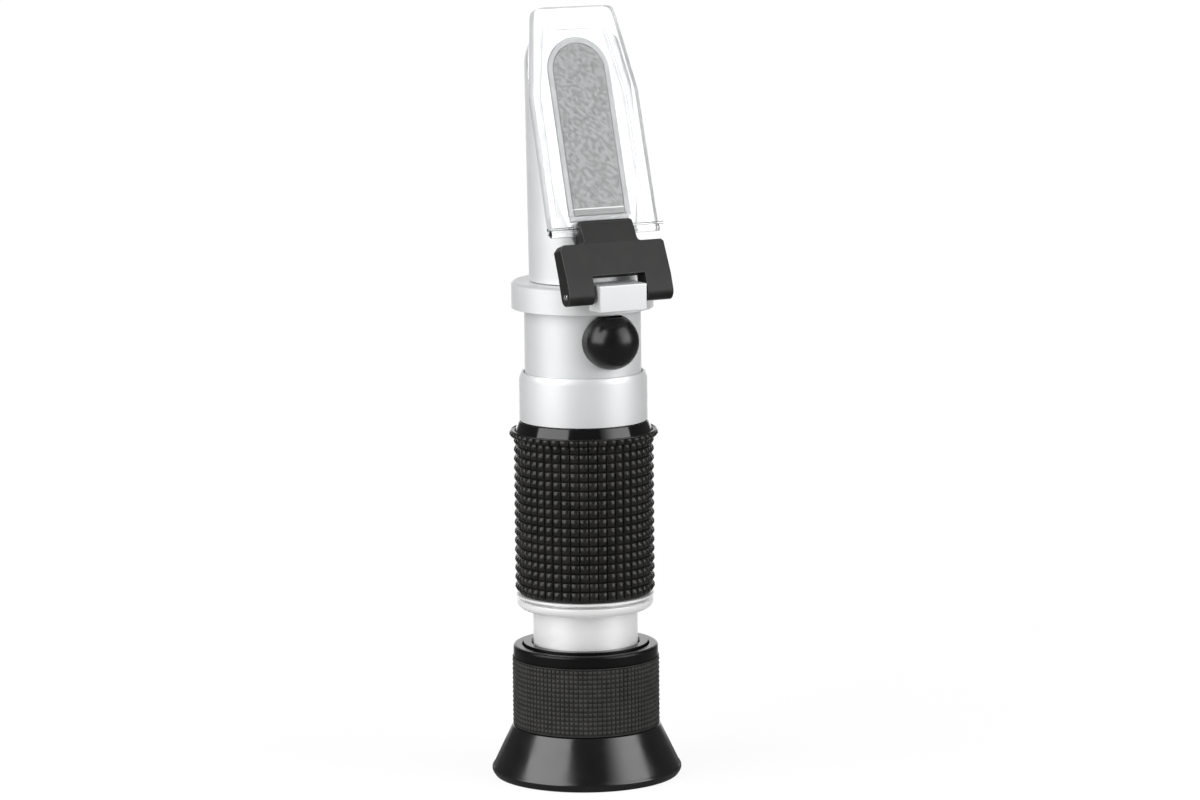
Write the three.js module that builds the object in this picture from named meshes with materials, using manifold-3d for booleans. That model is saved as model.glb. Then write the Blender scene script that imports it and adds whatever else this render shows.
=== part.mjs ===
// Hand-held honey refractometer, standing on its eyecup.
// Millimetres, +Z up the tube, the origin in the middle of the eyecup's resting face.
// The cover plate faces -Y, and its hinge pin lies along X.
import * as THREE from 'three';
import { mergeVertices, toCreasedNormals } from 'three/addons/utils/BufferGeometryUtils.js';
import Module from 'manifold-3d';

const wasm = await Module();
wasm.setup();

// Driving dimensions: clearances and the fineness of round pieces
const seatGap = 0.15;
const fitGap = 0.3;
const overrun = 1;
const roundSteps = 40;
const smallSteps = 16;
const tinySteps = 12;
const creaseAngle = Math.PI / 5;

// Driving dimensions: eyecup
const eyecupRimRadius = 20;
const eyecupRimHeight = 1.9;
const eyecupFootRadius = 19.4;
const eyecupLipWidth = 1.1;
const eyecupWall = 1.6;
const eyecupHeight = 10.6;
const eyecupNeckHeight = 2.6;

// Driving dimensions: focus ring, its sleeve and the nut inside it
const sleeveRadius = 15.5;
const sleeveWall = 1;
const sleeveHeight = 14.45;
const bandRadius = 15.25;
const bandHeight = 2.45;
const bandEdge = 0.7;
const ringWall = 0.8;
const spigotWall = 1.3;
const spigotLength = 2.9;
const shoulderThickness = 1.3;
const eyeHoleRadius = 7.8;
const nutStandOut = 0.5;
const nutLead = 0.25;
const focusTravel = 3;
const guideTravel = 2 * focusTravel;

// Driving dimensions: eyepiece barrel and guide pin
const barrelRadius = 11;
const barrelWall = 1.4;
const barrelExposed = 7.85;
const barrelInTube = 8;
const guidePinRadius = 0.9;
const guidePinTip = 0.6;

// Driving dimensions: ocular cell and its lenses
const ocularWall = 1.1;
const ocularFlangeHeight = 1.5;
const ocularLength = 13.6;
const ocularLipHeight = 0.8;
const ocularLipWidth = 0.9;
const eyeLensEdge = 1.6;
const eyeLensBulge = 1.1;
const fieldLensEdge = 1.4;
const fieldLensBulge = 0.9;
const spacerLength = 4.2;
const spacerWall = 0.8;
const lensRingHeight = 1.2;
const lensRingWall = 1.2;

// Driving dimensions: body tube and the rings on it
const tubeRadius = 12.2;
const tubeWall = 0.9;
const tubeExposed = 13.5;
const endRingRadius = 14.5;
const endRingHeight = 3.1;
const endRingNeckRadius = 12.9;
const endRingRim = 0.9;
const ringRadius = 13.4;
const ringHeight = 10.2;
const ringBevel = 0.5;
const ringBevelHeight = 1.4;

// Driving dimensions: rubber grip and the seat band under its lip
const gripLength = 34.65;
const gripValleyRadius = 13.95;
const studHeight = 0.75;
const studColumns = 46;
const studRows = 17;
const studRowPitch = 1.935;
const gripFoot = 0.43;
const gripLipRadius = 15.6;
const gripLipHeight = 1.05;
const gripLipWall = 0.75;
const gripLipDepth = 0.55;
const bandTopRadius = 13.6;
const bandSkirtRadius = 14.4;
const bandAboveLip = 1.9;
const bandFootRadius = 13.1;
const bandFootHeight = 0.5;

// Driving dimensions: collar, hinge lug and pin
const collarRadius = 14.85;
const collarHeight = 5.6;
const collarEdge = 0.6;
const collarFootEdge = 0.3;
const collarBore = 8.9;
const collarSpigotLength = 3.2;
const collarSpigotWall = 1.2;
const lugWidth = 10.9;
const lugBottom = 1.05;
const lugHeight = 5.55;
const lugFront = 3.75;
const lugEdge = 0.45;
const lugRoot = 2.6;
const pinAboveCollarFoot = 4.5;
const pinStandOff = 1.15;
const pinRadius = 0.75;
const pinEndSink = 0.15;

// Driving dimensions: prism head
const headLowRadius = 11.1;
const headHighRadius = 11.6;
const headTaperLength = 44.6;
const headLength = 51.5;
const headCrownRadius = 7.5;
const headBore = 6.4;
const headBoreLength = 19.5;
const headSpigotLength = 4;
const coverTilt = THREE.MathUtils.degToRad(17);
const faceBelowPin = 3.6;

// Driving dimensions: measuring prism and its rim
const prismLow = 17.2;
const prismArcCentre = 47.45;
const prismHalf = 5.8;
const prismDepth = 5.5;
const prismProud = 0.3;
const rimWidth = 1.1;
const rimDepth = 0.7;
const rimProud = 0.2;

// Driving dimensions: cover plate
const coverLow = 13.4;
const coverHigh = 60.8;
const coverShoulder = 42.6;
const coverHalfLow = 12.4;
const coverHalfShoulder = 12.1;
const coverHalfHigh = 9.1;
const coverCornerRadius = 1.5;
const coverThickness = 2.3;
const coverRimWidth = 2;
const coverRecessDepth = 0.5;
const coverRecessLow = 6;
const coverBarRadius = 0.78;
const coverNotchTop = 16.2;

// Driving dimensions: hinge bracket
const bracketHalfWidth = 12;
const tabHalfWidth = 6.1;
const tabTop = 15.7;
const tabFaceAboveCover = 0.35;
const tabFootHalf = 6.9;
const shoulderTop = 10.7;
const shoulderFace = 0.6;
const bracketFace = 1.85;
const bracketFaceTop = 3.3;
const bracketBackDepth = 2.5;
const bossRadius = 1.95;
const notchHalfWidth = 6.1;
const notchTop = 3.8;
const bracketCorner = 1;

// Driving dimensions: calibration screw, its boss and its cap
const screwBelowCollar = 5.85;
const bossOuterRadius = 4.2;
const bossStandOff = 3.3;
const bossFlange = 1.6;
const screwRadius = 1.5;
const screwHeadRadius = 2.7;
const screwHeadHeight = 1.6;
const screwHeadSink = 0.4;
const screwSlotWidth = 0.7;
const screwSlotDepth = 0.8;
const capRadius = 5.85;
const capFront = 6.6;
const capCavityAir = 0.5;

// Driving dimensions: objective, bimetal strip, stop and reticle
const objectiveShift = 0.25;
const objectiveRadius = 7.8;
const objectiveWall = 1.3;
const objectiveLength = 7;
const objectiveLensEdge = 1.8;
const objectiveLensBulge = 1;
const objectiveLip = 0.9;
const retainerHeight = 1.3;
const retainerWall = 1;
const stripThickness = 0.8;
const stripWidth = 6;
const stripLength = 25;
const stripFootHeight = 5;
const stripScrewRadius = 0.8;
const stripScrewHeadRadius = 1.5;
const stripScrewHeadHeight = 0.8;
const stopBelowObjective = 30;
const stopThickness = 1.5;
const stopHoleRadius = 6;
const reticleHolderHeight = 4;
const reticleLedge = 2;
const reticleRadius = 8.7;
const reticleThickness = 1.4;
const reticleHoleRadius = 7;
const reticleRingHeight = 1;

// Heights of the stack, from the resting face up
const sleeveBottom = eyecupHeight + seatGap;
const sleeveTop = sleeveBottom + sleeveHeight;
const bandBottom = sleeveTop + seatGap;
const ringTop = bandBottom + bandHeight;
const endRingBottom = ringTop + barrelExposed;
const gripBottom = endRingBottom + endRingHeight + seatGap;
const gripTop = gripBottom + gripLength;
const tubeRingBottom = gripTop + bandAboveLip + seatGap;
const tubeRingTop = tubeRingBottom + ringHeight;
const collarBottom = tubeRingTop + tubeExposed;
const collarTop = collarBottom + collarHeight;
const headBottom = collarTop + seatGap;
const headTop = headBottom + headLength;
const tubeBottom = gripBottom;
const tubeTop = collarBottom - seatGap;
const tubeBore = tubeRadius - tubeWall;
const onTubeRadius = tubeRadius + fitGap;

// Places of the hinge pin and of the calibration screw, measured from the axis towards the front
const pinFront = collarRadius + pinStandOff;
const pinHeight = collarBottom + pinAboveCollarFoot;
const screwHeight = collarBottom - screwBelowCollar;

// A closed mesh becomes a solid: shared vertices merged, collapsed triangles dropped, faces outward
function solid(geometry) {
  const bare = new THREE.BufferGeometry();
  bare.setAttribute('position', geometry.getAttribute('position'));
  bare.setIndex(geometry.getIndex());
  const merged = mergeVertices(bare, seatGap / 1000);
  const corners = Array.from(merged.getAttribute('position').array);
  const index = merged.getIndex().array;
  const kept = [];
  for (let i = 0; i < index.length; i += 3) {
    const [a, b, c] = [index[i], index[i + 1], index[i + 2]];
    if (a !== b && b !== c && c !== a) {
      kept.push([a, b, c]);
    }
  }
  const at = (k) => new THREE.Vector3().fromArray(corners, 3 * k);
  const volume = kept.reduce((sum, [a, b, c]) => sum + at(a).dot(at(b).cross(at(c))), 0);
  const triangles = kept.flatMap(([a, b, c]) => (volume > 0 ? [a, b, c] : [a, c, b]));
  return new wasm.Manifold(new wasm.Mesh({
    numProp: 3,
    vertProperties: new Float32Array(corners),
    triVerts: new Uint32Array(triangles),
  }));
}

// A named mesh of a solid, with its finish
function piece(name, body, material) {
  const mesh = body.getMesh();
  const geometry = new THREE.BufferGeometry();
  geometry.setAttribute('position', new THREE.BufferAttribute(new Float32Array(mesh.vertProperties), 3));
  geometry.setIndex(new THREE.BufferAttribute(new Uint32Array(mesh.triVerts), 1));
  const result = new THREE.Mesh(toCreasedNormals(geometry, creaseAngle), material);
  result.name = name;
  return result;
}

function finish(colour, roughness, metalness) {
  return new THREE.MeshStandardMaterial({ color: colour, roughness, metalness });
}

const silver = finish(0xd9dadd, 0.32, 0.9);
const brightSteel = finish(0xe6e6e8, 0.2, 1);
const blackMetal = finish(0x1d1d1e, 0.4, 0.6);
const glossBlack = finish(0x131314, 0.15, 0);
const rubber = finish(0x232221, 0.75, 0);
const glossRubber = finish(0x161617, 0.3, 0);
const mattePlastic = finish(0x2f2f2f, 0.6, 0);
const brass = finish(0xc2a35a, 0.3, 0.9);
const whiteRim = finish(0xd3d4d6, 0.5, 0);
const frostedGlass = finish(0xa8a9aa, 0.6, 0);
const clearGlass = finish(0xdfe8ea, 0.05, 0);
clearGlass.transparent = true;
clearGlass.opacity = 0.45;
const clearAcrylic = finish(0xf4f7f7, 0.08, 0);
clearAcrylic.transparent = true;
clearAcrylic.opacity = 0.35;

// Points of an arc in a profile, as [radius, height] pairs
function arc(centreRadius, centreHeight, radius, from, to, steps) {
  const points = [];
  for (let i = 0; i <= steps; i += 1) {
    const angle = THREE.MathUtils.degToRad(from + ((to - from) * i) / steps);
    points.push([centreRadius + radius * Math.cos(angle), centreHeight + radius * Math.sin(angle)]);
  }
  return points;
}

// A profile of [radius, height] pairs turned about Z; it closes on itself or ends on the axis
function turned(profile, steps) {
  const points = profile.map(([radius, height]) => new THREE.Vector2(radius, height));
  const onAxis = profile[0][0] === 0 && profile[profile.length - 1][0] === 0;
  if (!onAxis) {
    points.push(points[0].clone());
  }
  return solid(new THREE.LatheGeometry(points, steps).rotateX(Math.PI / 2));
}

// A straight tube or disc about Z
function tube(outer, inner, low, high, steps) {
  if (inner === 0) {
    return turned([[0, low], [outer, low], [outer, high], [0, high]], steps);
  }
  return turned([[inner, low], [outer, low], [outer, high], [inner, high]], steps);
}

// Rods along X, from the axis towards the front, and along Y
function rodAlongX(radius, halfLength, y, z, steps) {
  const rod = new THREE.CylinderGeometry(radius, radius, 2 * halfLength, steps);
  return solid(rod.rotateZ(Math.PI / 2).translate(0, y, z));
}

function rodTowardsFront(radius, near, far, z, steps) {
  const rod = new THREE.CylinderGeometry(radius, radius, far - near, steps);
  return solid(rod.translate(0, (near + far) / 2, 0).rotateX(Math.PI).translate(0, 0, z));
}

function rodAlongY(radius, near, far, z) {
  const rod = new THREE.CylinderGeometry(radius, radius, far - near, tinySteps);
  return solid(rod.translate(0, (near + far) / 2, z));
}

function block(low, high) {
  const box = new THREE.BoxGeometry(high[0] - low[0], high[1] - low[1], high[2] - low[2]);
  return solid(box.translate((low[0] + high[0]) / 2, (low[1] + high[1]) / 2, (low[2] + high[2]) / 2));
}

// An outline extruded from one depth to another
function plate(shape, low, high, curveSegments) {
  const depth = high - low;
  const geometry = new THREE.ExtrudeGeometry(shape, { depth, bevelEnabled: false, curveSegments });
  return solid(geometry.translate(0, 0, low));
}

// A lens: a disc with its two faces bulged
function lens(radius, low, edge, lowBulge, highBulge, steps) {
  const rings = 3;
  const profile = [];
  for (let i = 0; i <= rings; i += 1) {
    const share = i / rings;
    profile.push([radius * share, low - lowBulge * (1 - share * share)]);
  }
  for (let i = rings; i >= 0; i -= 1) {
    const share = i / rings;
    profile.push([radius * share, low + edge + highBulge * (1 - share * share)]);
  }
  return turned(profile, steps);
}

// How far a lens face stands out at a given radius
function bulgeAt(radius, lensRadiusHere, bulge) {
  const share = radius / lensRadiusHere;
  return bulge * (1 - share * share);
}

// Eyecup: a flared rubber bell; its rolled rim stands on the table, its neck grips the focus ring
const ringOuter = sleeveRadius - sleeveWall - fitGap;
const ringBore = ringOuter - ringWall;
const nutBore = barrelRadius + fitGap;
const spigotRadius = nutBore + spigotWall;
const spigotBottom = eyecupHeight - spigotLength;
const neckRadius = spigotRadius + fitGap;
const neckBottom = eyecupHeight - eyecupNeckHeight;
const bowlTopRadius = sleeveRadius - eyecupWall
  + (eyecupNeckHeight * (eyecupRimRadius - sleeveRadius)) / (eyecupHeight - eyecupRimHeight);

function eyecup() {
  const lipRadius = eyecupFootRadius - eyecupLipWidth;
  return turned([
    [lipRadius, 0],
    [eyecupFootRadius, 0],
    [(eyecupFootRadius + eyecupRimRadius) / 2, eyecupRimHeight / 4],
    [eyecupRimRadius, eyecupRimHeight / 2],
    [eyecupRimRadius, eyecupRimHeight],
    [sleeveRadius + seatGap, eyecupHeight - seatGap],
    [sleeveRadius, eyecupHeight],
    [neckRadius, eyecupHeight],
    [neckRadius, neckBottom],
    [bowlTopRadius, neckBottom],
    [eyecupRimRadius - eyecupWall, eyecupRimHeight],
    [lipRadius - seatGap, eyecupRimHeight / 4],
  ], roundSteps);
}

// Focus ring: a black shell with a spigot for the eyecup, a shoulder with the eye hole and a top band
const shoulderBottom = sleeveBottom;
const shoulderHigh = shoulderBottom + shoulderThickness;

function focusRing() {
  const corner = bandEdge;
  return turned([
    [eyeHoleRadius, shoulderBottom],
    [nutBore, shoulderBottom],
    [nutBore, spigotBottom],
    [spigotRadius, spigotBottom],
    [spigotRadius, shoulderBottom],
    [ringOuter, shoulderBottom],
    [ringOuter, bandBottom],
    [bandRadius, bandBottom],
    ...arc(bandRadius - corner, ringTop - corner, corner, 0, 90, 2),
    [ringBore, ringTop],
    [ringBore, shoulderHigh],
    [eyeHoleRadius, shoulderHigh],
  ], roundSteps);
}

// Knurled sleeve: moulded rubber round the focus ring; its ends are a little lower than the knurl
function knurledSleeve() {
  const inner = ringOuter + fitGap;
  const edge = (sleeveRadius - inner) / 4;
  return turned([
    [inner, sleeveBottom],
    [sleeveRadius - edge, sleeveBottom],
    [sleeveRadius, sleeveBottom + edge],
    [sleeveRadius, sleeveTop - edge],
    [sleeveRadius - edge, sleeveTop],
    [inner, sleeveTop],
  ], roundSteps);
}

// Ocular cell: a tube that slides in the barrel on the guide pin; its flange turns in the focus ring
const ocularRadius = barrelRadius - barrelWall - fitGap;
const ocularBore = ocularRadius - ocularWall;
const ocularBottom = shoulderHigh + fitGap;
const ocularFlangeTop = ocularBottom + ocularFlangeHeight;
const ocularTop = ocularBottom + ocularLength;
const nutBottom = ocularFlangeTop + fitGap;
const barrelBottom = ocularFlangeTop + focusTravel + fitGap + seatGap;
const guideHeight = ocularTop - focusTravel - 2 * guidePinRadius - fitGap;
const nutTop = ringTop + nutStandOut;

function ocularCell() {
  const body = turned([
    [ocularBore - ocularLipWidth, ocularBottom],
    [ringBore - fitGap, ocularBottom],
    [ringBore - fitGap, ocularFlangeTop],
    [ocularRadius, ocularFlangeTop],
    [ocularRadius, ocularTop],
    [ocularBore, ocularTop],
    [ocularBore, ocularBottom + ocularLipHeight],
    [ocularBore - ocularLipWidth, ocularBottom + ocularLipHeight],
  ], smallSteps);
  const slotHalf = guidePinRadius + fitGap;
  const slotReach = guideTravel / 2;
  const slotLow = guideHeight - slotReach;
  const slotHigh = guideHeight + slotReach;
  const far = ocularRadius + overrun;
  return body
    .subtract(block([-slotHalf, 0, slotLow], [slotHalf, far, slotHigh]))
    .subtract(rodAlongY(slotHalf, 0, far, slotLow))
    .subtract(rodAlongY(slotHalf, 0, far, slotHigh));
}

// Focus nut: the black ring round the barrel, which keeps the ocular cell in the focus ring and
// stands a little out of it; a lead at the top of its bore clears the barrel
function focusNut() {
  const nutRadius = ringBore - fitGap;
  return turned([
    [nutBore, nutBottom],
    [nutRadius, nutBottom],
    [nutRadius, nutTop],
    [nutBore + nutLead, nutTop],
    [nutBore, nutTop - nutLead],
  ], roundSteps);
}

// Eyepiece barrel: the bright tube between the focus ring and the body, bored for the guide pin
const barrelTop = tubeBottom + barrelInTube;

function eyepieceBarrel() {
  const bore = barrelRadius - barrelWall;
  const wall = tube(barrelRadius, bore, barrelBottom, barrelTop, roundSteps);
  return wall.subtract(rodAlongY(guidePinRadius + seatGap, 0, barrelRadius + overrun, guideHeight));
}

function guidePin() {
  return rodAlongY(guidePinRadius, ocularRadius - guidePinTip, barrelRadius - seatGap, guideHeight);
}

// Lenses, spacer and lock ring in the ocular cell, from the eye upwards
const lensRadius = ocularBore - seatGap;
const eyeLensBottom = ocularBottom + ocularLipHeight + seatGap;
const spacerBore = lensRadius - spacerWall;
const spacerBottom = eyeLensBottom + eyeLensEdge + bulgeAt(spacerBore, lensRadius, eyeLensBulge) + seatGap;
const fieldLensBottom =
  spacerBottom + spacerLength + bulgeAt(spacerBore, lensRadius, fieldLensBulge) + seatGap;
const lensRingBottom = fieldLensBottom + fieldLensEdge + seatGap;
const lensRingTop = lensRingBottom + lensRingHeight;

// Lower end ring: the bright ring that closes the body under the grip
function lowerEndRing() {
  const bore = barrelRadius + fitGap;
  const rimLow = endRingBottom + endRingHeight - endRingRim;
  const bevel = endRingRadius - endRingNeckRadius;
  const rise = rimLow - endRingBottom;
  const roll = [];
  const steps = 3;
  for (let i = 0; i <= steps; i += 1) {
    const angle = (Math.PI / 2) * (i / steps);
    roll.push([endRingNeckRadius + bevel * Math.sin(angle), rimLow - rise * Math.cos(angle)]);
  }
  return turned([
    [bore, endRingBottom],
    ...roll,
    [endRingRadius, endRingBottom + endRingHeight],
    [bore, endRingBottom + endRingHeight],
  ], roundSteps);
}

// Body tube: bored through at the front for the boss of the calibration screw
function mainTube() {
  const wall = tube(tubeRadius, tubeBore, tubeBottom, tubeTop, roundSteps);
  const hole = rodTowardsFront(bossOuterRadius + seatGap, 0, tubeRadius + overrun, screwHeight, tinySteps);
  return wall.subtract(hole);
}

// Rubber grip: rings of points up the outside and down the bore, with a pyramid stud on each cell
function gripSleeve() {
  const studsBottom = gripBottom + gripFoot;
  const studsTop = studsBottom + studRows * studRowPitch;
  const outer = [[gripValleyRadius - gripFoot / 2, gripBottom]];
  for (let row = 0; row <= studRows; row += 1) {
    outer.push([gripValleyRadius, studsBottom + row * studRowPitch]);
  }
  const lipLow = gripTop - gripLipHeight;
  const bore = onTubeRadius;
  const rings = [
    ...outer,
    [gripLipRadius, lipLow],
    [gripLipRadius, gripTop - (2 * gripLipHeight) / 3],
    [gripLipRadius - gripLipWall / 2, gripTop],
    [gripLipRadius - gripLipWall, gripTop - seatGap],
    [gripLipRadius - gripLipWall, gripTop - gripLipDepth],
    [bandFootRadius + fitGap, bandLow - fitGap],
    [bore, bandLow - fitGap],
    [bore, gripBottom],
  ];
  const positions = [];
  const index = [];
  const step = (2 * Math.PI) / studColumns;
  const place = (radius, height, turn) => {
    positions.push(radius * Math.cos(turn * step), radius * Math.sin(turn * step), height);
    return positions.length / 3 - 1;
  };
  const corners = rings.map(([radius, height]) => (
    Array.from({ length: studColumns }, (_, column) => place(radius, height, column))
  ));
  rings.forEach((ring, low) => {
    const high = (low + 1) % rings.length;
    for (let column = 0; column < studColumns; column += 1) {
      const next = (column + 1) % studColumns;
      const [a, b] = [corners[low][column], corners[low][next]];
      const [c, d] = [corners[high][next], corners[high][column]];
      if (low >= 1 && low <= studRows) {
        const middle = (ring[1] + rings[high][1]) / 2;
        const tip = place(gripValleyRadius + studHeight, middle, column + 1 / 2);
        index.push(a, b, tip, b, c, tip, c, d, tip, d, a, tip);
      } else {
        index.push(a, b, c, a, c, d);
      }
    }
  });
  const geometry = new THREE.BufferGeometry();
  geometry.setAttribute('position', new THREE.Float32BufferAttribute(positions, 3));
  geometry.setIndex(index);
  return solid(geometry);
}

// Grip seat band: the glossy black cone that the grip's lip stands round
const bandHigh = gripTop + bandAboveLip;
const skirtHeight = gripTop - gripLipHeight / 3;
const bandLow = skirtHeight - bandFootHeight;

function gripSeatBand() {
  return turned([
    [onTubeRadius, bandLow],
    [bandFootRadius, bandLow],
    [bandSkirtRadius, skirtHeight],
    [bandTopRadius, bandHigh],
    [onTubeRadius, bandHigh],
  ], roundSteps);
}

// Tube ring: the silver ring over the grip, bevelled at its top
function tubeRing() {
  return turned([
    [onTubeRadius, tubeRingBottom],
    [ringRadius, tubeRingBottom],
    [ringRadius, tubeRingTop - ringBevelHeight],
    [ringRadius - ringBevel, tubeRingTop],
    [onTubeRadius, tubeRingTop],
  ], roundSteps);
}

// Collar: carries the head and, on a milled lug, the hinge pin; a spigot goes down into the body tube
function collar() {
  const spigotOuter = tubeBore - fitGap;
  const ring = turned([
    [collarBore, collarBottom],
    [spigotOuter - collarSpigotWall, collarBottom],
    [spigotOuter - collarSpigotWall, collarBottom - collarSpigotLength],
    [spigotOuter, collarBottom - collarSpigotLength],
    [spigotOuter, collarBottom],
    [collarRadius - collarFootEdge, collarBottom],
    [collarRadius, collarBottom + collarFootEdge],
    ...arc(collarRadius - collarEdge, collarTop - collarEdge, collarEdge, 0, 90, 2),
    [collarBore, collarTop],
  ], roundSteps);
  const low = collarBottom + lugBottom;
  const high = low + lugHeight;
  const front = collarRadius + lugFront;
  const back = collarRadius - lugRoot;
  const side = new THREE.Shape([
    [back, low], [front - lugEdge, low], [front, low + lugEdge],
    [front, high - lugEdge], [front - lugEdge, high], [back, high],
  ].map(([reach, height]) => new THREE.Vector2(reach, height)));
  const lug = alongX(side, lugWidth / 2);
  const bossRoom = rodTowardsFront(bossOuterRadius + fitGap, 0, tubeRadius, screwHeight, smallSteps);
  return ring
    .add(lug)
    .subtract(rodAlongX(pinRadius + seatGap, lugWidth, -pinFront, pinHeight, tinySteps))
    .subtract(bossRoom);
}

// A side outline of [reach to the front, height] pairs, extruded along X to both sides
function alongX(shape, halfWidth) {
  const geometry = new THREE.ExtrudeGeometry(shape, { depth: 2 * halfWidth, bevelEnabled: false });
  const toModel = new THREE.Matrix4().makeBasis(
    new THREE.Vector3(0, -1, 0),
    new THREE.Vector3(0, 0, 1),
    new THREE.Vector3(-1, 0, 0),
  );
  return solid(geometry.translate(0, 0, -halfWidth).applyMatrix4(toModel));
}

// The hinge frame: its origin on the pin, X across, Y up the oblique face and Z out of it
const hingeFrame = new THREE.Object3D();
hingeFrame.position.set(0, -pinFront, pinHeight);
hingeFrame.rotation.x = Math.PI / 2 - coverTilt;
hingeFrame.updateMatrix();

function plateInHingeFrame(shape, low, high, curveSegments) {
  const depth = high - low;
  const geometry = new THREE.ExtrudeGeometry(shape, { depth, bevelEnabled: false, curveSegments });
  return solid(geometry.translate(0, 0, low).applyMatrix4(hingeFrame.matrix));
}

// Outline of the prism in the oblique face: a flat foot, straight sides and a round top
function prismOutline(grow) {
  const shape = new THREE.Shape();
  shape.moveTo(-prismHalf - grow, prismLow - grow);
  shape.lineTo(prismHalf + grow, prismLow - grow);
  shape.lineTo(prismHalf + grow, prismArcCentre);
  shape.absarc(0, prismArcCentre, prismHalf + grow, 0, Math.PI, false);
  shape.closePath();
  return shape;
}

const prismCurve = 10;

// Prism head: a slightly flared tube with a round crown, cut by the oblique face and pocketed
function prismHead() {
  const spigotRadiusHead = collarBore - fitGap;
  const taperTop = headBottom + headTaperLength;
  const crown = [];
  const steps = 5;
  for (let i = 1; i <= steps; i += 1) {
    const angle = (Math.PI / 2) * (i / steps);
    const reach = headHighRadius - headCrownRadius;
    crown.push([
      headCrownRadius + reach * Math.cos(angle),
      taperTop + (headTop - taperTop) * Math.sin(angle),
    ]);
  }
  const blank = turned([
    [headBore, headBottom - headSpigotLength],
    [spigotRadiusHead, headBottom - headSpigotLength],
    [spigotRadiusHead, headBottom],
    [headLowRadius, headBottom],
    [headHighRadius, taperTop],
    ...crown,
    [0, headTop],
    [0, headBottom + headBoreLength],
    [headBore, headBottom + headBoreLength],
  ], roundSteps);
  const wide = 2 * headHighRadius;
  const long = headLength + headHighRadius;
  const cutAway = new THREE.Shape([
    new THREE.Vector2(-wide, -long), new THREE.Vector2(wide, -long),
    new THREE.Vector2(wide, 2 * long), new THREE.Vector2(-wide, 2 * long),
  ]);
  const face = -faceBelowPin;
  const pocketFloor = face + prismProud - prismDepth - seatGap;
  const rebateFloor = face + rimProud - rimDepth - seatGap;
  return blank
    .subtract(plateInHingeFrame(cutAway, face, wide, 1))
    .subtract(plateInHingeFrame(prismOutline(seatGap), pocketFloor, overrun, prismCurve))
    .subtract(plateInHingeFrame(
      prismOutline(seatGap + rimWidth + seatGap), rebateFloor, overrun, prismCurve,
    ));
}

// Measuring prism and the cement rim round it, in the hinge frame
function measuringPrism() {
  const top = -faceBelowPin + prismProud;
  return plate(prismOutline(0), top - prismDepth, top, prismCurve);
}

function prismRim() {
  const top = -faceBelowPin + rimProud;
  const outer = plate(prismOutline(seatGap + rimWidth), top - rimDepth, top, prismCurve);
  return outer.subtract(plate(prismOutline(seatGap), top - rimDepth - overrun, top + overrun, prismCurve));
}

// Outline of the cover plate, drawn in by a margin
function coverOutline(margin, low) {
  const half = (value) => value - margin;
  const high = coverHigh - margin;
  const corner = coverCornerRadius;
  const lean = (coverHalfShoulder - coverHalfHigh) / (coverHigh - coverShoulder);
  const shape = new THREE.Shape();
  shape.moveTo(-half(coverHalfLow), low);
  shape.lineTo(half(coverHalfLow), low);
  shape.lineTo(half(coverHalfShoulder), coverShoulder);
  shape.lineTo(half(coverHalfHigh) + lean * corner, high - corner);
  shape.quadraticCurveTo(half(coverHalfHigh), high, half(coverHalfHigh) - corner, high);
  shape.lineTo(corner - half(coverHalfHigh), high);
  shape.quadraticCurveTo(-half(coverHalfHigh), high, -half(coverHalfHigh) - lean * corner, high - corner);
  shape.lineTo(-half(coverHalfShoulder), coverShoulder);
  shape.closePath();
  return shape;
}

const coverInner = -faceBelowPin + fitGap;
const coverOuter = coverInner + coverThickness;

// Cover plate: clear acrylic, recessed over the prism, with a round bar along its foot and a notch
// for the tab
function coverPlate() {
  const notchHalf = tabHalfWidth + fitGap;
  const body = plate(coverOutline(0, coverLow), coverInner, coverOuter, 4);
  const recess = plate(
    coverOutline(coverRimWidth, coverLow + coverRecessLow),
    coverInner - overrun,
    coverInner + coverRecessDepth,
    4,
  );
  const bar = rodAlongX(coverBarRadius, coverHalfLow, coverLow, (coverInner + coverOuter) / 2, 12);
  const notch = block(
    [-notchHalf, coverLow - coverBarRadius - overrun, coverInner - overrun],
    [notchHalf, coverNotchTop, coverOuter + overrun],
  );
  return body.add(bar).subtract(recess).subtract(notch);
}

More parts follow.
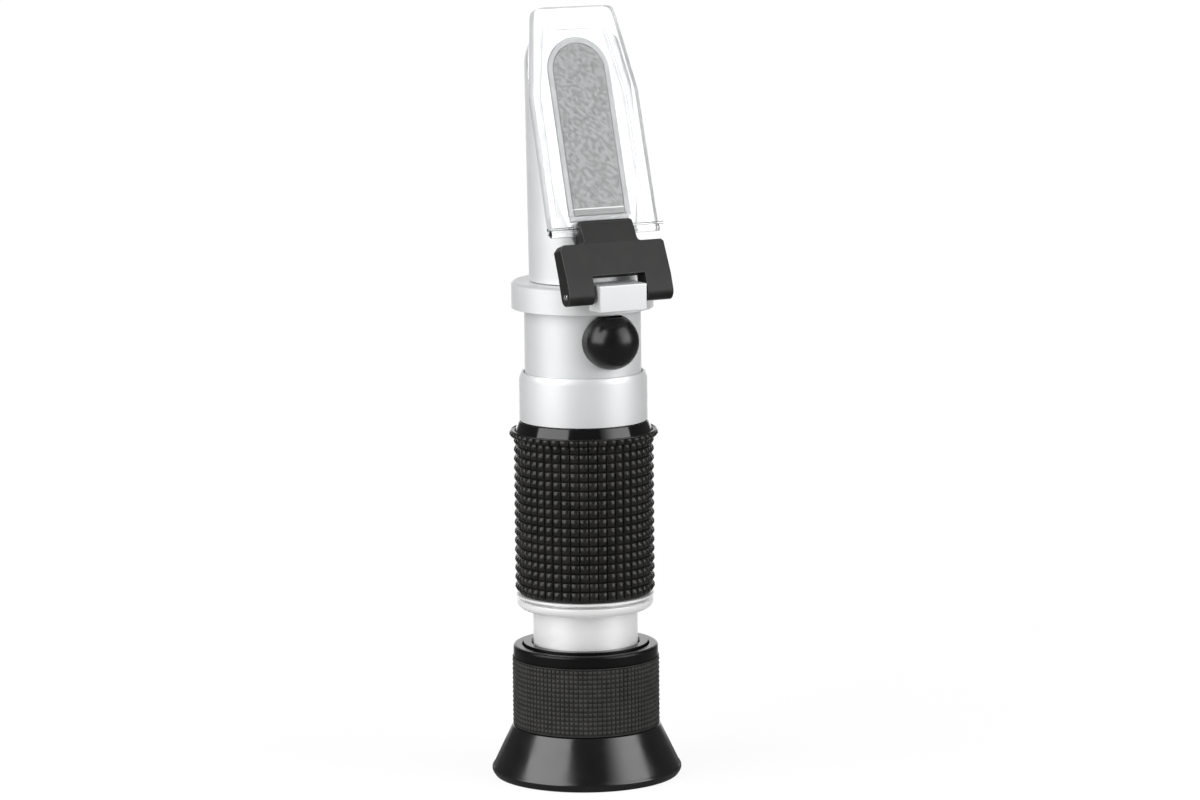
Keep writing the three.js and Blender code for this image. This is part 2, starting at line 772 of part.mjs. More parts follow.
// Hinge bracket: a side profile across the full width, trimmed to a T with a notch round the lug
function hingeBracket() {
  const tabFace = coverOuter + tabFaceAboveCover;
  const back = -bracketBackDepth;
  const profile = new THREE.Shape();
  profile.moveTo(back, shoulderTop);
  profile.lineTo(-bossRadius, notchTop);
  profile.lineTo(-bossRadius, 0);
  profile.absarc(0, 0, bossRadius, Math.PI, 2 * Math.PI, false);
  profile.lineTo(bracketFace, bracketFaceTop);
  profile.lineTo(shoulderFace, shoulderTop);
  profile.lineTo(tabFace, tabTop - tabFaceAboveCover);
  profile.lineTo(tabFace - tabFaceAboveCover, tabTop);
  profile.lineTo(coverInner, tabTop);
  profile.lineTo(coverInner, shoulderTop);
  profile.closePath();
  const halfWidth = bracketHalfWidth;
  const geometry = new THREE.ExtrudeGeometry(profile, {
    depth: 2 * halfWidth, bevelEnabled: false, curveSegments: 10,
  });
  const toFrame = new THREE.Matrix4().makeBasis(
    new THREE.Vector3(0, 0, 1),
    new THREE.Vector3(0, 1, 0),
    new THREE.Vector3(-1, 0, 0),
  );
  const body = solid(geometry.translate(0, 0, -halfWidth).applyMatrix4(toFrame));
  const outline = new THREE.Shape();
  const foot = -bossRadius - overrun;
  outline.moveTo(-halfWidth, foot);
  outline.lineTo(-notchHalfWidth, foot);
  outline.lineTo(-notchHalfWidth, notchTop);
  outline.lineTo(notchHalfWidth, notchTop);
  outline.lineTo(notchHalfWidth, foot);
  outline.lineTo(halfWidth, foot);
  outline.lineTo(halfWidth, shoulderTop - bracketCorner / 2);
  outline.lineTo(halfWidth - bracketCorner / 2, shoulderTop);
  outline.lineTo(tabFootHalf, shoulderTop);
  outline.quadraticCurveTo(tabHalfWidth, shoulderTop, tabHalfWidth, shoulderTop + tabFootHalf - tabHalfWidth);
  outline.lineTo(tabHalfWidth, tabTop - bracketCorner / 2);
  outline.lineTo(tabHalfWidth - bracketCorner / 2, tabTop);
  outline.lineTo(bracketCorner / 2 - tabHalfWidth, tabTop);
  outline.lineTo(-tabHalfWidth, tabTop - bracketCorner / 2);
  outline.lineTo(-tabHalfWidth, shoulderTop + tabFootHalf - tabHalfWidth);
  outline.quadraticCurveTo(-tabHalfWidth, shoulderTop, -tabFootHalf, shoulderTop);
  outline.lineTo(bracketCorner - halfWidth, shoulderTop);
  outline.lineTo(-halfWidth, shoulderTop - bracketCorner);
  outline.closePath();
  const trim = plate(outline, back - overrun - bossRadius, bracketFace + bossRadius, 4);
  const pinHole = rodAlongX(pinRadius + seatGap, halfWidth + overrun, 0, 0, tinySteps);
  return body.intersect(trim).subtract(pinHole);
}

// Calibration screw: slotted, in a boss on the front of the body tube
const bossTop = tubeRadius + bossStandOff;
const screwHeadBottom = bossTop - screwHeadSink - screwHeadHeight;
const screwTip = objectiveRadius + objectiveShift + fitGap;

function screwBoss() {
  const inner = tubeBore - bossFlange;
  const neck = screwRadius + seatGap;
  const boss = rodTowardsFront(bossOuterRadius, inner, bossTop, screwHeight, smallSteps);
  const headRoom = rodTowardsFront(
    screwHeadRadius + seatGap, screwHeadBottom - seatGap, bossTop + overrun, screwHeight, smallSteps,
  );
  return boss.subtract(headRoom)
    .subtract(rodTowardsFront(neck, inner - overrun, bossTop, screwHeight, tinySteps));
}

function calibrationScrew() {
  const head = rodTowardsFront(
    screwHeadRadius, screwHeadBottom, screwHeadBottom + screwHeadHeight, screwHeight, smallSteps,
  );
  const shank = rodTowardsFront(screwRadius, screwTip, screwHeadBottom + seatGap, screwHeight, tinySteps);
  const headTopReach = screwHeadBottom + screwHeadHeight;
  const slot = block(
    [-screwHeadRadius - overrun, -headTopReach - overrun, screwHeight - screwSlotWidth / 2],
    [screwHeadRadius + overrun, screwSlotDepth - headTopReach, screwHeight + screwSlotWidth / 2],
  );
  return head.add(shank).subtract(slot);
}

// Screw cap: a rubber dome pushed over the boss, its rim cut to the round of the tube
function screwCap() {
  const domeBase = tubeRadius + capFront - capRadius;
  const cavityRadius = bossOuterRadius + fitGap;
  const dome = [[0, 0], [capRadius, 0]];
  const crown = arc(0, domeBase, capRadius, 0, 90, 6).slice(0, -1);
  const profile = [...dome, ...crown, [0, domeBase + capRadius]];
  const points = profile.map(([radius, reach]) => new THREE.Vector2(radius, reach));
  const skin = new THREE.LatheGeometry(points, smallSteps).rotateX(Math.PI).translate(0, 0, screwHeight);
  const outer = solid(skin);
  const cavity = rodTowardsFront(cavityRadius, -overrun, bossTop + capCavityAir, screwHeight, smallSteps);
  const reach = 2 * capRadius;
  const tubeRoom = tube(onTubeRadius, 0, screwHeight - reach, screwHeight + reach, roundSteps);
  return outer.subtract(cavity).subtract(tubeRoom);
}

// Objective: a lens in a cell, carried by a bimetal strip that the calibration screw pushes
const objectiveBottom = screwHeight - objectiveLength / 2;
const objectiveTop = objectiveBottom + objectiveLength;
const objectiveBore = objectiveRadius - objectiveWall;
const objectiveLensBottom = objectiveBottom + objectiveLip + seatGap;
const objectiveLensRadius = objectiveBore - seatGap;
const retainerBore = objectiveLensRadius - retainerWall;
const retainerBottom = objectiveLensBottom + objectiveLensEdge + seatGap
  + bulgeAt(retainerBore, objectiveLensRadius, objectiveLensBulge);
const retainerTop = retainerBottom + retainerHeight;
const stripInner = objectiveRadius + seatGap;
const stripOuter = stripInner + stripThickness;
const stripBottom = objectiveTop - stripLength;
const stripScrewHeight = stripBottom + stripFootHeight / 2;

function objectiveCell() {
  const shell = turned([
    [objectiveBore - objectiveLip, objectiveBottom],
    [objectiveRadius, objectiveBottom],
    [objectiveRadius, objectiveTop],
    [objectiveBore, objectiveTop],
    [objectiveBore, objectiveBottom + objectiveLip],
    [objectiveBore - objectiveLip, objectiveBottom + objectiveLip],
  ], smallSteps);
  const flat = stripWidth / 2;
  const pad = block([-flat, objectiveBore + seatGap, objectiveBottom], [flat, objectiveRadius, objectiveTop]);
  return shell.add(pad);
}

function objectiveLens() {
  return lens(objectiveLensRadius, objectiveLensBottom, objectiveLensEdge, 0, objectiveLensBulge, smallSteps);
}

function bimetalStrip() {
  const half = stripWidth / 2;
  const strip = block([-half, stripInner, stripBottom], [half, stripOuter, objectiveTop]);
  const holeRadius = stripScrewRadius + objectiveShift;
  const hole = rodAlongY(holeRadius, stripInner - overrun, stripOuter + overrun, stripScrewHeight);
  return strip.subtract(hole);
}

// Foot of the strip: a block on the wall of the tube, with the screw that holds the strip to it
const footInner = stripOuter + objectiveShift + seatGap;

function stripFoot() {
  const half = stripWidth / 2;
  const footTop = stripBottom + stripFootHeight;
  const footBlock = block([-half, footInner, stripBottom], [half, tubeRadius, footTop]);
  const inTube = tube(tubeBore - seatGap, 0, stripBottom - overrun, footTop + overrun, roundSteps);
  const tapped = rodAlongY(stripScrewRadius + seatGap, 0, tubeBore, stripScrewHeight);
  return footBlock.intersect(inTube).subtract(tapped);
}

function stripScrew() {
  const headBase = stripInner - objectiveShift - seatGap;
  const head = rodAlongY(stripScrewHeadRadius, headBase - stripScrewHeadHeight, headBase, stripScrewHeight);
  const shankEnd = footInner + (tubeBore - footInner) / 2;
  return head.add(rodAlongY(stripScrewRadius, headBase - seatGap, shankEnd, stripScrewHeight));
}

// Reticle: a scale glass on a ledge above the barrel, held down by a ring
const holderBottom = barrelTop + seatGap;
const holderTop = holderBottom + reticleHolderHeight;
const reticleBottom = holderBottom + reticleLedge + seatGap;
const inTubeRadius = tubeBore - fitGap;

function reticleHolder() {
  return turned([
    [reticleHoleRadius, holderBottom],
    [inTubeRadius, holderBottom],
    [inTubeRadius, holderTop],
    [reticleRadius + seatGap, holderTop],
    [reticleRadius + seatGap, holderBottom + reticleLedge],
    [reticleHoleRadius, holderBottom + reticleLedge],
  ], smallSteps);
}

const stopBottom = objectiveBottom - stopBelowObjective;
const reticleRingBottom = reticleBottom + reticleThickness + seatGap;
const reticleRingTop = reticleRingBottom + reticleRingHeight;

// The instrument: fixed pieces first, then the pieces in the hinge frame, then the turning eyepiece
const refractometer = new THREE.Group();
refractometer.add(
  piece('eyecup', eyecup(), glossRubber),
  piece('focus_ring', focusRing(), blackMetal),
  piece('knurled_sleeve', knurledSleeve(), rubber),
  piece('focus_nut', focusNut(), blackMetal),
  piece('ocular_cell', ocularCell(), blackMetal),
  piece('eye_lens', lens(lensRadius, eyeLensBottom, eyeLensEdge, 0, eyeLensBulge, smallSteps), clearGlass),
  piece('lens_spacer', tube(lensRadius, spacerBore, spacerBottom, spacerBottom + spacerLength, smallSteps),
    blackMetal),
  piece('field_lens', lens(lensRadius, fieldLensBottom, fieldLensEdge, fieldLensBulge, 0, smallSteps),
    clearGlass),
  piece('lens_lock_ring', tube(lensRadius, lensRadius - lensRingWall, lensRingBottom, lensRingTop, smallSteps),
    blackMetal),
  piece('eyepiece_barrel', eyepieceBarrel(), silver),
  piece('guide_pin', guidePin(), brightSteel),
  piece('lower_end_ring', lowerEndRing(), silver),
  piece('main_tube', mainTube(), silver),
  piece('grip_sleeve', gripSleeve(), rubber),
  piece('grip_seat_band', gripSeatBand(), glossBlack),
  piece('tube_ring', tubeRing(), silver),
  piece('collar', collar(), silver),
  piece('prism_head', prismHead(), silver),
  piece('screw_boss', screwBoss(), silver),
  piece('calibration_screw', calibrationScrew(), brass),
  piece('screw_cap', screwCap(), glossRubber),
  piece('objective_cell', objectiveCell(), blackMetal),
  piece('objective_lens', objectiveLens(), clearGlass),
  piece('objective_lock_ring', tube(objectiveLensRadius, retainerBore, retainerBottom, retainerTop, smallSteps),
    blackMetal),
  piece('bimetal_strip', bimetalStrip(), brass),
  piece('strip_foot', stripFoot(), blackMetal),
  piece('strip_screw', stripScrew(), brightSteel),
  piece('aperture_stop', tube(inTubeRadius, stopHoleRadius, stopBottom, stopBottom + stopThickness, smallSteps),
    blackMetal),
  piece('reticle_holder', reticleHolder(), blackMetal),
  piece('reticle_glass', tube(reticleRadius, 0, reticleBottom, reticleBottom + reticleThickness, smallSteps),
    clearGlass),
  piece('reticle_lock_ring',
    tube(reticleRadius, reticleHoleRadius, reticleRingBottom, reticleRingTop, smallSteps), blackMetal),
);

const oblique = new THREE.Group();
oblique.position.copy(hingeFrame.position);
oblique.rotation.copy(hingeFrame.rotation);
oblique.add(
  piece('measuring_prism', measuringPrism(), frostedGlass),
  piece('prism_rim', prismRim(), whiteRim),
  piece('cover_plate', coverPlate(), clearAcrylic),
  piece('hinge_bracket', hingeBracket(), mattePlastic),
  piece('hinge_pin', rodAlongX(pinRadius, bracketHalfWidth - pinEndSink, 0, 0, tinySteps), brightSteel),
);
refractometer.add(oblique);

export default refractometer;
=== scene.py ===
from math import cos, pi, radians, sin, tan

import bmesh
import bpy
from mathutils import Matrix, Quaternion, Vector


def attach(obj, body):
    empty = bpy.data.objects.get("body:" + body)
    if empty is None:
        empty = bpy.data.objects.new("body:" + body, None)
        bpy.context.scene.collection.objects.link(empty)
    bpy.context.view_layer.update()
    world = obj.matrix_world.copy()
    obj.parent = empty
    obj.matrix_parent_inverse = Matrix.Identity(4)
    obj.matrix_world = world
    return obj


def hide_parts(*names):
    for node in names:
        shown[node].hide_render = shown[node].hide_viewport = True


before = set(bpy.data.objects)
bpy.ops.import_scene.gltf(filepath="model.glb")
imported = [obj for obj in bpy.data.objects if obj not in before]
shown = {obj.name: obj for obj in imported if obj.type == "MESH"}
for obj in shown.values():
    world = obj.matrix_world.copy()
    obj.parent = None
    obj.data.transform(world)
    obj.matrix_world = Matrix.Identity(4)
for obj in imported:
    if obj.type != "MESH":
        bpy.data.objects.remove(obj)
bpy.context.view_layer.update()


# ------------------------------------------------ The photographer's stand
# A long lens about a metre away, 27 degrees to the left of the instrument's front and a little
# above its head; the instrument leans by half a degree in the picture.
MM = 0.001

view_azimuth = radians(-27)
view_distance = 960 * MM
view_height = 229 * MM
view_roll = radians(0.53)
aim_height = 79.5 * MM
aim_aside = 3.48 * MM
focal_length = 139.35
sensor_width = 36


def placed(name, data):
    """A new object of this name in the scene."""
    thing = bpy.data.objects.new(name, data)
    bpy.context.scene.collection.objects.link(thing)
    return thing


sideways = Vector((cos(view_azimuth), sin(view_azimuth), 0))
camera = placed("camera", bpy.data.cameras.new("camera"))
camera.data.sensor_width = sensor_width
camera.data.lens = focal_length
camera.data.clip_start = 0.05
camera.data.clip_end = 50
camera.location = (view_distance * sin(view_azimuth), -view_distance * cos(view_azimuth), view_height)
sight = sideways * aim_aside + Vector((0, 0, aim_height)) - camera.location
camera.rotation_mode = "QUATERNION"
camera.rotation_quaternion = sight.to_track_quat("-Z", "Y") @ Quaternion((0, 0, 1), -view_roll)
bpy.context.scene.camera = camera


# ------------------------------------------------ The white table and the lamps
# A white table that runs on behind and one tall soft lamp on each side of the camera. The front is
# dark, so black parts keep their depth, and the bright back gives them a thin pale outline.
def colour(hex_code):
    """An sRGB hex colour as the linear one that a shader takes."""
    parts = [int(hex_code[i:i + 2], 16) / 255 for i in (1, 3, 5)]
    return tuple(p / 12.92 if p <= 0.04045 else ((p + 0.055) / 1.055) ** 2.4 for p in parts) + (1,)


def add_node(tree, kind, links=None, to=None, **settings):
    """A node with its settings. links maps its inputs to a value, another node's output or a node,
    whose first output is meant; to is the input that its own first output feeds."""
    node = tree.nodes.new(kind)
    for name, value in settings.items():
        setattr(node, name, value)
    for socket, value in (links or {}).items():
        if isinstance(value, bpy.types.Node):
            value = value.outputs[0]
        if isinstance(value, bpy.types.NodeSocket):
            tree.links.new(value, node.inputs[socket])
        else:
            node.inputs[socket].default_value = value
    if to:
        tree.links.new(node.outputs[0], to)
    return node


table_half = 8
table_height = -0.05 * MM
table_shadow_share = 0.13
table_glow = 1.03
shadow_reach = 0.2
shadow_end = 0.7
front_dark = 0.1
back_bright = 2.2
room_light = 0.35
behind = (-sin(view_azimuth), cos(view_azimuth), 0)


def mirrored_room(tree, direction):
    """How bright the room is in a mirror: white straight behind the object and dark elsewhere."""
    facing = add_node(tree, "ShaderNodeVectorMath", {0: direction, 1: behind}, operation="DOT_PRODUCT")
    return add_node(tree, "ShaderNodeMapRange", {
        "Value": facing.outputs["Value"], "From Min": 0.88, "From Max": 0.985,
        "To Min": front_dark, "To Max": back_bright})


def ray_kinds(tree):
    """The kinds of ray, and whether one comes straight from the camera or on through glass."""
    rays = add_node(tree, "ShaderNodeLightPath").outputs
    return rays, add_node(tree, "ShaderNodeMath", {
        0: rays["Is Camera Ray"], 1: rays["Is Transmission Ray"]}, operation="MAXIMUM")


def rectangle(left, low, right, high):
    """The four corners of a rectangle, or a sleeve's profile, from the lower left one."""
    return [(left, low), (right, low), (right, high), (left, high)]


table_mesh = bpy.data.meshes.new("table")
corners = rectangle(-table_half, -table_half, table_half, table_half)
table_mesh.from_pydata([(x, y, table_height) for x, y in corners], [], [(0, 1, 2, 3)])
table = placed("table", table_mesh)
table_material = bpy.data.materials.new("white_laminate_table")
table_material.use_nodes = True
tree = table_material.node_tree
tree.nodes.clear()
rays, direct = ray_kinds(tree)
place = add_node(tree, "ShaderNodeTexCoord").outputs["Object"]
way = add_node(tree, "ShaderNodeVectorMath", {0: place}, operation="NORMALIZE")
seen = add_node(tree, "ShaderNodeMath", {0: direct, 1: rays["Is Glossy Ray"]}, operation="MAXIMUM")
reach = add_node(tree, "ShaderNodeVectorMath", {0: place}, operation="LENGTH")
away = add_node(tree, "ShaderNodeMapRange", {
    "Value": reach.outputs["Value"], "From Min": shadow_reach, "From Max": shadow_end,
    "To Min": 1 - table_shadow_share, "To Max": 1.0})
share = add_node(tree, "ShaderNodeMath", {0: seen, 1: away}, operation="MULTIPLY")
level = add_node(tree, "ShaderNodeMix", {"Factor": direct, "A": mirrored_room(tree, way), "B": table_glow})
lit = add_node(tree, "ShaderNodeBsdfDiffuse", {"Color": colour("#F4F4F3")})
glow = add_node(tree, "ShaderNodeEmission", {"Color": (1, 1, 1, 1), "Strength": level})
both = add_node(tree, "ShaderNodeMixShader", {0: share, 1: lit, 2: glow})
add_node(tree, "ShaderNodeOutputMaterial", {"Surface": both})
table_mesh.materials.append(table_material)

world = bpy.data.worlds.new("studio")
bpy.context.scene.world = world
world.use_nodes = True
tree = world.node_tree
tree.nodes.clear()
rays, direct = ray_kinds(tree)
way = add_node(tree, "ShaderNodeTexCoord").outputs["Generated"]
room = add_node(tree, "ShaderNodeMix", {
    "Factor": rays["Is Glossy Ray"], "A": room_light, "B": mirrored_room(tree, way)})
plain = add_node(tree, "ShaderNodeMix", {"Factor": direct, "A": room, "B": 1.0})
back = add_node(tree, "ShaderNodeBackground", {"Color": (1, 1, 1, 1), "Strength": plain})
add_node(tree, "ShaderNodeOutputWorld", {"Surface": back})
# Light samples would show glossy pieces the level meant for dull ones, so the room is met by rays alone.
world.cycles.sampling_method = "NONE"

lamp_distance = 1.0
lamp_low, lamp_high = 0.02, 1.15
lamp_target = Vector((0, 0, 90 * MM))


def soft_lamp(name, from_view, spread, radiance, head_share, inner_fade):
    """An upright soft lamp, turned by from_view degrees to the right of the camera. Its cloth is
    dimmer towards the head and may fade over a share of its width on the left."""
    lamp = bpy.data.lights.new(name, "AREA")
    lamp.shape = "RECTANGLE"
    lamp.size = 2 * lamp_distance * tan(radians(spread) / 2)
    lamp.size_y = lamp_high - lamp_low
    lamp.energy = radiance * pi * lamp.size * lamp.size_y
    lamp.use_nodes = True
    tree = lamp.node_tree
    cloth = add_node(tree, "ShaderNodeNewGeometry")
    across = add_node(tree, "ShaderNodeSeparateXYZ", {0: cloth.outputs["Parametric"]})
    rise = add_node(tree, "ShaderNodeMapRange", {
        "Value": across.outputs[1], "To Min": 1.0, "To Max": head_share})
    fade = add_node(tree, "ShaderNodeMapRange", {
        "Value": across, "From Max": max(inner_fade, 0.001), "To Min": 0.1}, interpolation_type="SMOOTHSTEP")
    add_node(tree, "ShaderNodeMath", {0: rise, 1: fade}, tree.nodes["Emission"].inputs["Strength"],
             operation="MULTIPLY")
    holder = placed(name, lamp)
    turn = view_azimuth + radians(from_view)
    holder.location = (lamp_distance * sin(turn), -lamp_distance * cos(turn), (lamp_low + lamp_high) / 2)
    holder.rotation_mode = "QUATERNION"
    holder.rotation_quaternion = (lamp_target - holder.location).to_track_quat("-Z", "Y")
    holder.visible_camera = False


soft_lamp("left_lamp", -59, spread=60, radiance=3.5, head_share=0.9, inner_fade=0)
soft_lamp("right_lamp", 60, spread=57, radiance=4.6, head_share=0.4, inner_fade=0.5)


# ------------------------------------------------ Body tube
# Aluminium tube, turned, bead blasted and clear anodised; the front is bored for the boss of the
# calibration screw. It carries all the rings, the grip and the collar.
seat_gap = 0.15
fit_gap = 0.3
tube_radius, tube_bore = 12.2, 11.3
tube_bottom, tube_top = 38.9, 99.15
tube_edge = 0.15
screw_height = 93.45
boss_radius = 4.2
overrun = 1
round_steps, bore_steps = 168, 48
point_gap, weld_gap = 1e-6, 1e-4
clear_corner = radians(20)
sharp_angle = 30
studded_faces = 15000


def new_material(name, **sockets):
    """A material with one Principled shader, whose sockets are given with underscores for spaces; with
    it come its tree, the shader's inputs and the place on the object that patterns follow."""
    material = bpy.data.materials.new(name)
    material.use_nodes = True
    tree = material.node_tree
    shader = tree.nodes["Principled BSDF"]
    for socket, value in sockets.items():
        shader.inputs[socket.replace("_", " ")].default_value = value
    return material, tree, shader.inputs, add_node(tree, "ShaderNodeTexCoord").outputs["Object"]


def set_stops(ramp, *stops):
    """Sets the stops of a colour ramp, each by its position and hex colour."""
    for stop, (position, hex_code) in zip(ramp.color_ramp.elements, stops):
        stop.position, stop.color = position, colour(hex_code)


def arc(steps, first=0, turn=pi / 2):
    """Even angles through a turn."""
    return [turn * k / steps for k in range(first, steps + 1)]


def eased(profile, radius, steps=3, closed=True):
    """The profile with each clear corner rounded to a radius, as a tool or a mould leaves it."""
    result = []
    count = len(profile)
    for i, corner in enumerate(profile):
        here = Vector(corner)
        back = Vector(profile[i - 1]) - here
        on = Vector(profile[(i + 1) % count]) - here
        open_end = not closed and i in (0, count - 1)
        if open_end or min(back.length, on.length) < point_gap or pi - back.angle(on) < clear_corner:
            result.append(corner)
            continue
        cut = min(radius * tan((pi - back.angle(on)) / 2), 0.45 * back.length, 0.45 * on.length)
        start = here + back.normalized() * cut
        end = here + on.normalized() * cut
        for k in range(steps + 1):
            t = k / steps
            result.append(tuple(start.lerp(here, t).lerp(here.lerp(end, t), t)))
    return result


def plain_object(name, bm, material, smooth_angle=sharp_angle):
    """A mesh object in metres from a bmesh in millimetres, faces outwards, sharp only at clear edges."""
    bmesh.ops.remove_doubles(bm, verts=bm.verts, dist=weld_gap)
    bmesh.ops.dissolve_degenerate(bm, edges=bm.edges, dist=weld_gap)
    bmesh.ops.recalc_face_normals(bm, faces=bm.faces)
    bmesh.ops.scale(bm, vec=(MM, MM, MM), verts=bm.verts)
    mesh = bpy.data.meshes.new(name)
    bm.to_mesh(mesh)
    bm.free()
    mesh.polygons.foreach_set("use_smooth", [True] * len(mesh.polygons))
    mesh.set_sharp_from_angle(angle=radians(smooth_angle))
    mesh.materials.append(material)
    return placed(name, mesh)


def turned(name, profile, material, steps=round_steps, matrix=Matrix()):
    """A solid turned about Z from radius and height pairs in millimetres; it closes on itself or on
    the axis."""
    bm = bmesh.new()
    angles = [2 * pi * k / steps for k in range(steps)]
    rings = []
    for radius, height in profile:
        if radius < point_gap:
            rings.append([bm.verts.new((0, 0, height))] * steps)
        else:
            rings.append([bm.verts.new((radius * cos(a), radius * sin(a), height)) for a in angles])
    on_axis = max(profile[0][0], profile[-1][0]) <= point_gap
    for i in range(len(rings) - on_axis):
        low, high = rings[i], rings[(i + 1) % len(rings)]
        for k in range(steps):
            n = (k + 1) % steps
            face = list(dict.fromkeys((low[k], low[n], high[n], high[k])))
            if len(face) > 2:
                bm.faces.new(face)
    bmesh.ops.transform(bm, matrix=matrix, verts=bm.verts)
    return plain_object(name, bm, material)


def rod(name, radius, low, high, material, steps=bore_steps, matrix=Matrix()):
    """A plain round rod, mostly to bore a hole with."""
    return turned(name, rectangle(0, low, radius, high), material, steps, matrix)


def applied(piece):
    """The piece with its modifiers' result as its own plain mesh."""
    evaluated = piece.evaluated_get(bpy.context.evaluated_depsgraph_get())
    mesh = bpy.data.meshes.new_from_object(evaluated)
    piece.modifiers.clear()
    old = piece.data
    piece.data = mesh
    mesh.name = piece.name
    bpy.data.meshes.remove(old)


def cut_with(piece, cutter, operation="DIFFERENCE"):
    """Joins or cuts one solid with another and keeps a plain mesh; the cutter goes."""
    modifier = piece.modifiers.new("cut", "BOOLEAN")
    modifier.operation = operation
    modifier.solver = "EXACT"
    modifier.object = cutter
    applied(piece)
    bpy.data.objects.remove(cutter)
    piece.data.set_sharp_from_angle(angle=radians(sharp_angle))


def towards_front(height):
    """Places a solid turned about Z so that its axis runs from the tube's axis to the front."""
    return Matrix.Translation((0, 0, height)) @ Matrix.Rotation(pi / 2, 4, "X")


def set_in(piece, body, slot, *nodes):
    """The piece rides on a body and stands for its solids; its slot argument is not used. Broad faces are
    shaded flat right up to their eased edges; the studs stay round."""
    if len(piece.data.polygons) < studded_faces:
        piece.modifiers.new("flat_faces", "WEIGHTED_NORMAL").keep_sharp = True
        applied(piece)
    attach(piece, body)
    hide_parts(*nodes)


# Satin anodised aluminium: the blast leaves a fine even grain, so lamps smear into broad soft bands,
# and the oxide scatters a little white light.
satin_aluminium, tree, finish, place = new_material(
    "satin_anodised_aluminium", Base_Color=colour("#E6E7E8"), Metallic=0.55, Roughness=0.5)
blast = add_node(tree, "ShaderNodeTexNoise", {
    "Vector": place, "Scale": 1 / (0.22 * MM), "Detail": 2.0, "Roughness": 0.6})
cloud = add_node(tree, "ShaderNodeTexNoise", {"Vector": place, "Scale": 1 / (9 * MM), "Detail": 3.0})
add_node(tree, "ShaderNodeMapRange", {
    "Value": cloud, "From Min": 0.3, "From Max": 0.7, "To Min": 0.46, "To Max": 0.54}, finish["Roughness"])
add_node(tree, "ShaderNodeBump", {"Height": blast, "Strength": 0.18, "Distance": 0.01 * MM}, finish["Normal"])

main_tube = turned("body_tube", eased(rectangle(tube_bore, tube_bottom, tube_radius, tube_top), tube_edge),
                   satin_aluminium)
cut_with(main_tube, rod("boss_hole", boss_radius + seat_gap, 0, tube_radius + overrun, satin_aluminium,
                        matrix=towards_front(screw_height)))
set_in(main_tube, "body", "silver", "main_tube")


# ------------------------------------------------ Rings on the body
# Turned and anodised like the tube: a wide ring above the grip with a bevelled top, and at the
# foot an end ring with a rolled underside, a fine groove and a thin flange under the rubber.
ring_bore = tube_radius + fit_gap
ring_radius = 13.4
ring_bottom, ring_top = 75.6, 85.8
ring_bevel, ring_bevel_height = 0.5, 1.4
turned_edge = 0.12
tube_ring = turned("tube_ring", eased([
    (ring_bore, ring_bottom), (ring_radius, ring_bottom), (ring_radius, ring_top - ring_bevel_height),
    (ring_radius - ring_bevel, ring_top), (ring_bore, ring_top)], turned_edge), satin_aluminium)
set_in(tube_ring, "body", "silver", "tube_ring")

# The end ring and the barrel are only turned, not blasted, so they are smoother and look paler.
smooth_aluminium, tree, finish, place = new_material(
    "smooth_anodised_aluminium", Base_Color=colour("#FCFCFC"), Metallic=0.45, Roughness=0.42)
drawn = add_node(tree, "ShaderNodeMapping", {"Vector": place, "Scale": (0.1, 0.1, 1.0)})
lines = add_node(tree, "ShaderNodeTexNoise", {"Vector": drawn, "Scale": 1 / (0.3 * MM), "Detail": 2.0})
add_node(tree, "ShaderNodeMapRange", {
    "Value": lines, "From Min": 0.3, "From Max": 0.7, "To Min": 0.36, "To Max": 0.48}, finish["Roughness"])

barrel_radius, barrel_bore = 11.0, 9.6
barrel_bottom, barrel_top = 17.3, 46.9
end_bore = barrel_radius + fit_gap
end_bottom, end_top = 35.65, 38.75
end_neck, end_roll, end_flange = 12.9, 14.35, 14.5
end_groove_low, end_groove_high, end_groove_radius = 37.6, 38.28, 12.1
roll_top = end_groove_low - 0.35
roll = [(end_neck + (end_roll - end_neck) * sin(a), roll_top - (roll_top - end_bottom) * cos(a))
        for a in arc(8)]
end_ring = turned("end_ring", [
    (end_bore, end_bottom + 0.1), (end_bore + 0.1, end_bottom), *roll,
    (end_roll, end_groove_low - 0.1), (end_roll - 0.1, end_groove_low), (end_groove_radius, end_groove_low),
    (end_groove_radius, end_groove_high), (end_flange - 0.12, end_groove_high),
    (end_flange, end_groove_high + 0.12), (end_flange, end_top - 0.15), (end_flange - 0.15, end_top),
    (end_bore, end_top)], smooth_aluminium)
set_in(end_ring, "body", "silver", "lower_end_ring")

barrel = turned("eyepiece_barrel", eased(
    rectangle(barrel_bore, barrel_bottom, barrel_radius, barrel_top), turned_edge), smooth_aluminium)
set_in(barrel, "body", "silver", "eyepiece_barrel")


# ------------------------------------------------ Grip and its seat band
# A sleeve of black nitrile rubber, moulded with rows of small pyramid studs, pulled over the tube.
# Its thin lip stands round a glossy black band.
grip_bore = tube_radius + fit_gap
grip_bottom, grip_top = 38.9, 73.55
grip_valley, grip_foot = 13.95, 0.43
grip_columns, grip_rows, grip_pitch = 46, 17, 1.935
stud_height, stud_roundness, stud_fill, stud_sink = 0.75, 1.7, 0.97, 0.2
stud_soft_angle = 60
band_foot, band_skirt, band_neck = 13.1, 14.4, 13.6
band_low, skirt_height, band_high = 72.7, 73.2, 75.45
lip_radius = 15.6
# The lip in section, from the last studs over its edge and down to the band, as seen from its outer top.
lip_section = [(-1.3, -1.45), (-0.85, -1.15), (-0.65, -0.8), (-0.5, -0.45), (-0.32, -0.33), (-0.26, -0.23),
               (-0.3, -0.09), (-0.42, 0), (-0.62, -0.05), (-0.75, -0.2), (-0.8, -0.55)]
lip_stud_seat, lip_stud_middle, lip_stud_length, lip_stud_fill, lip_stud_sink = 14.8, 72.72, 1.35, 1.02, 0.3


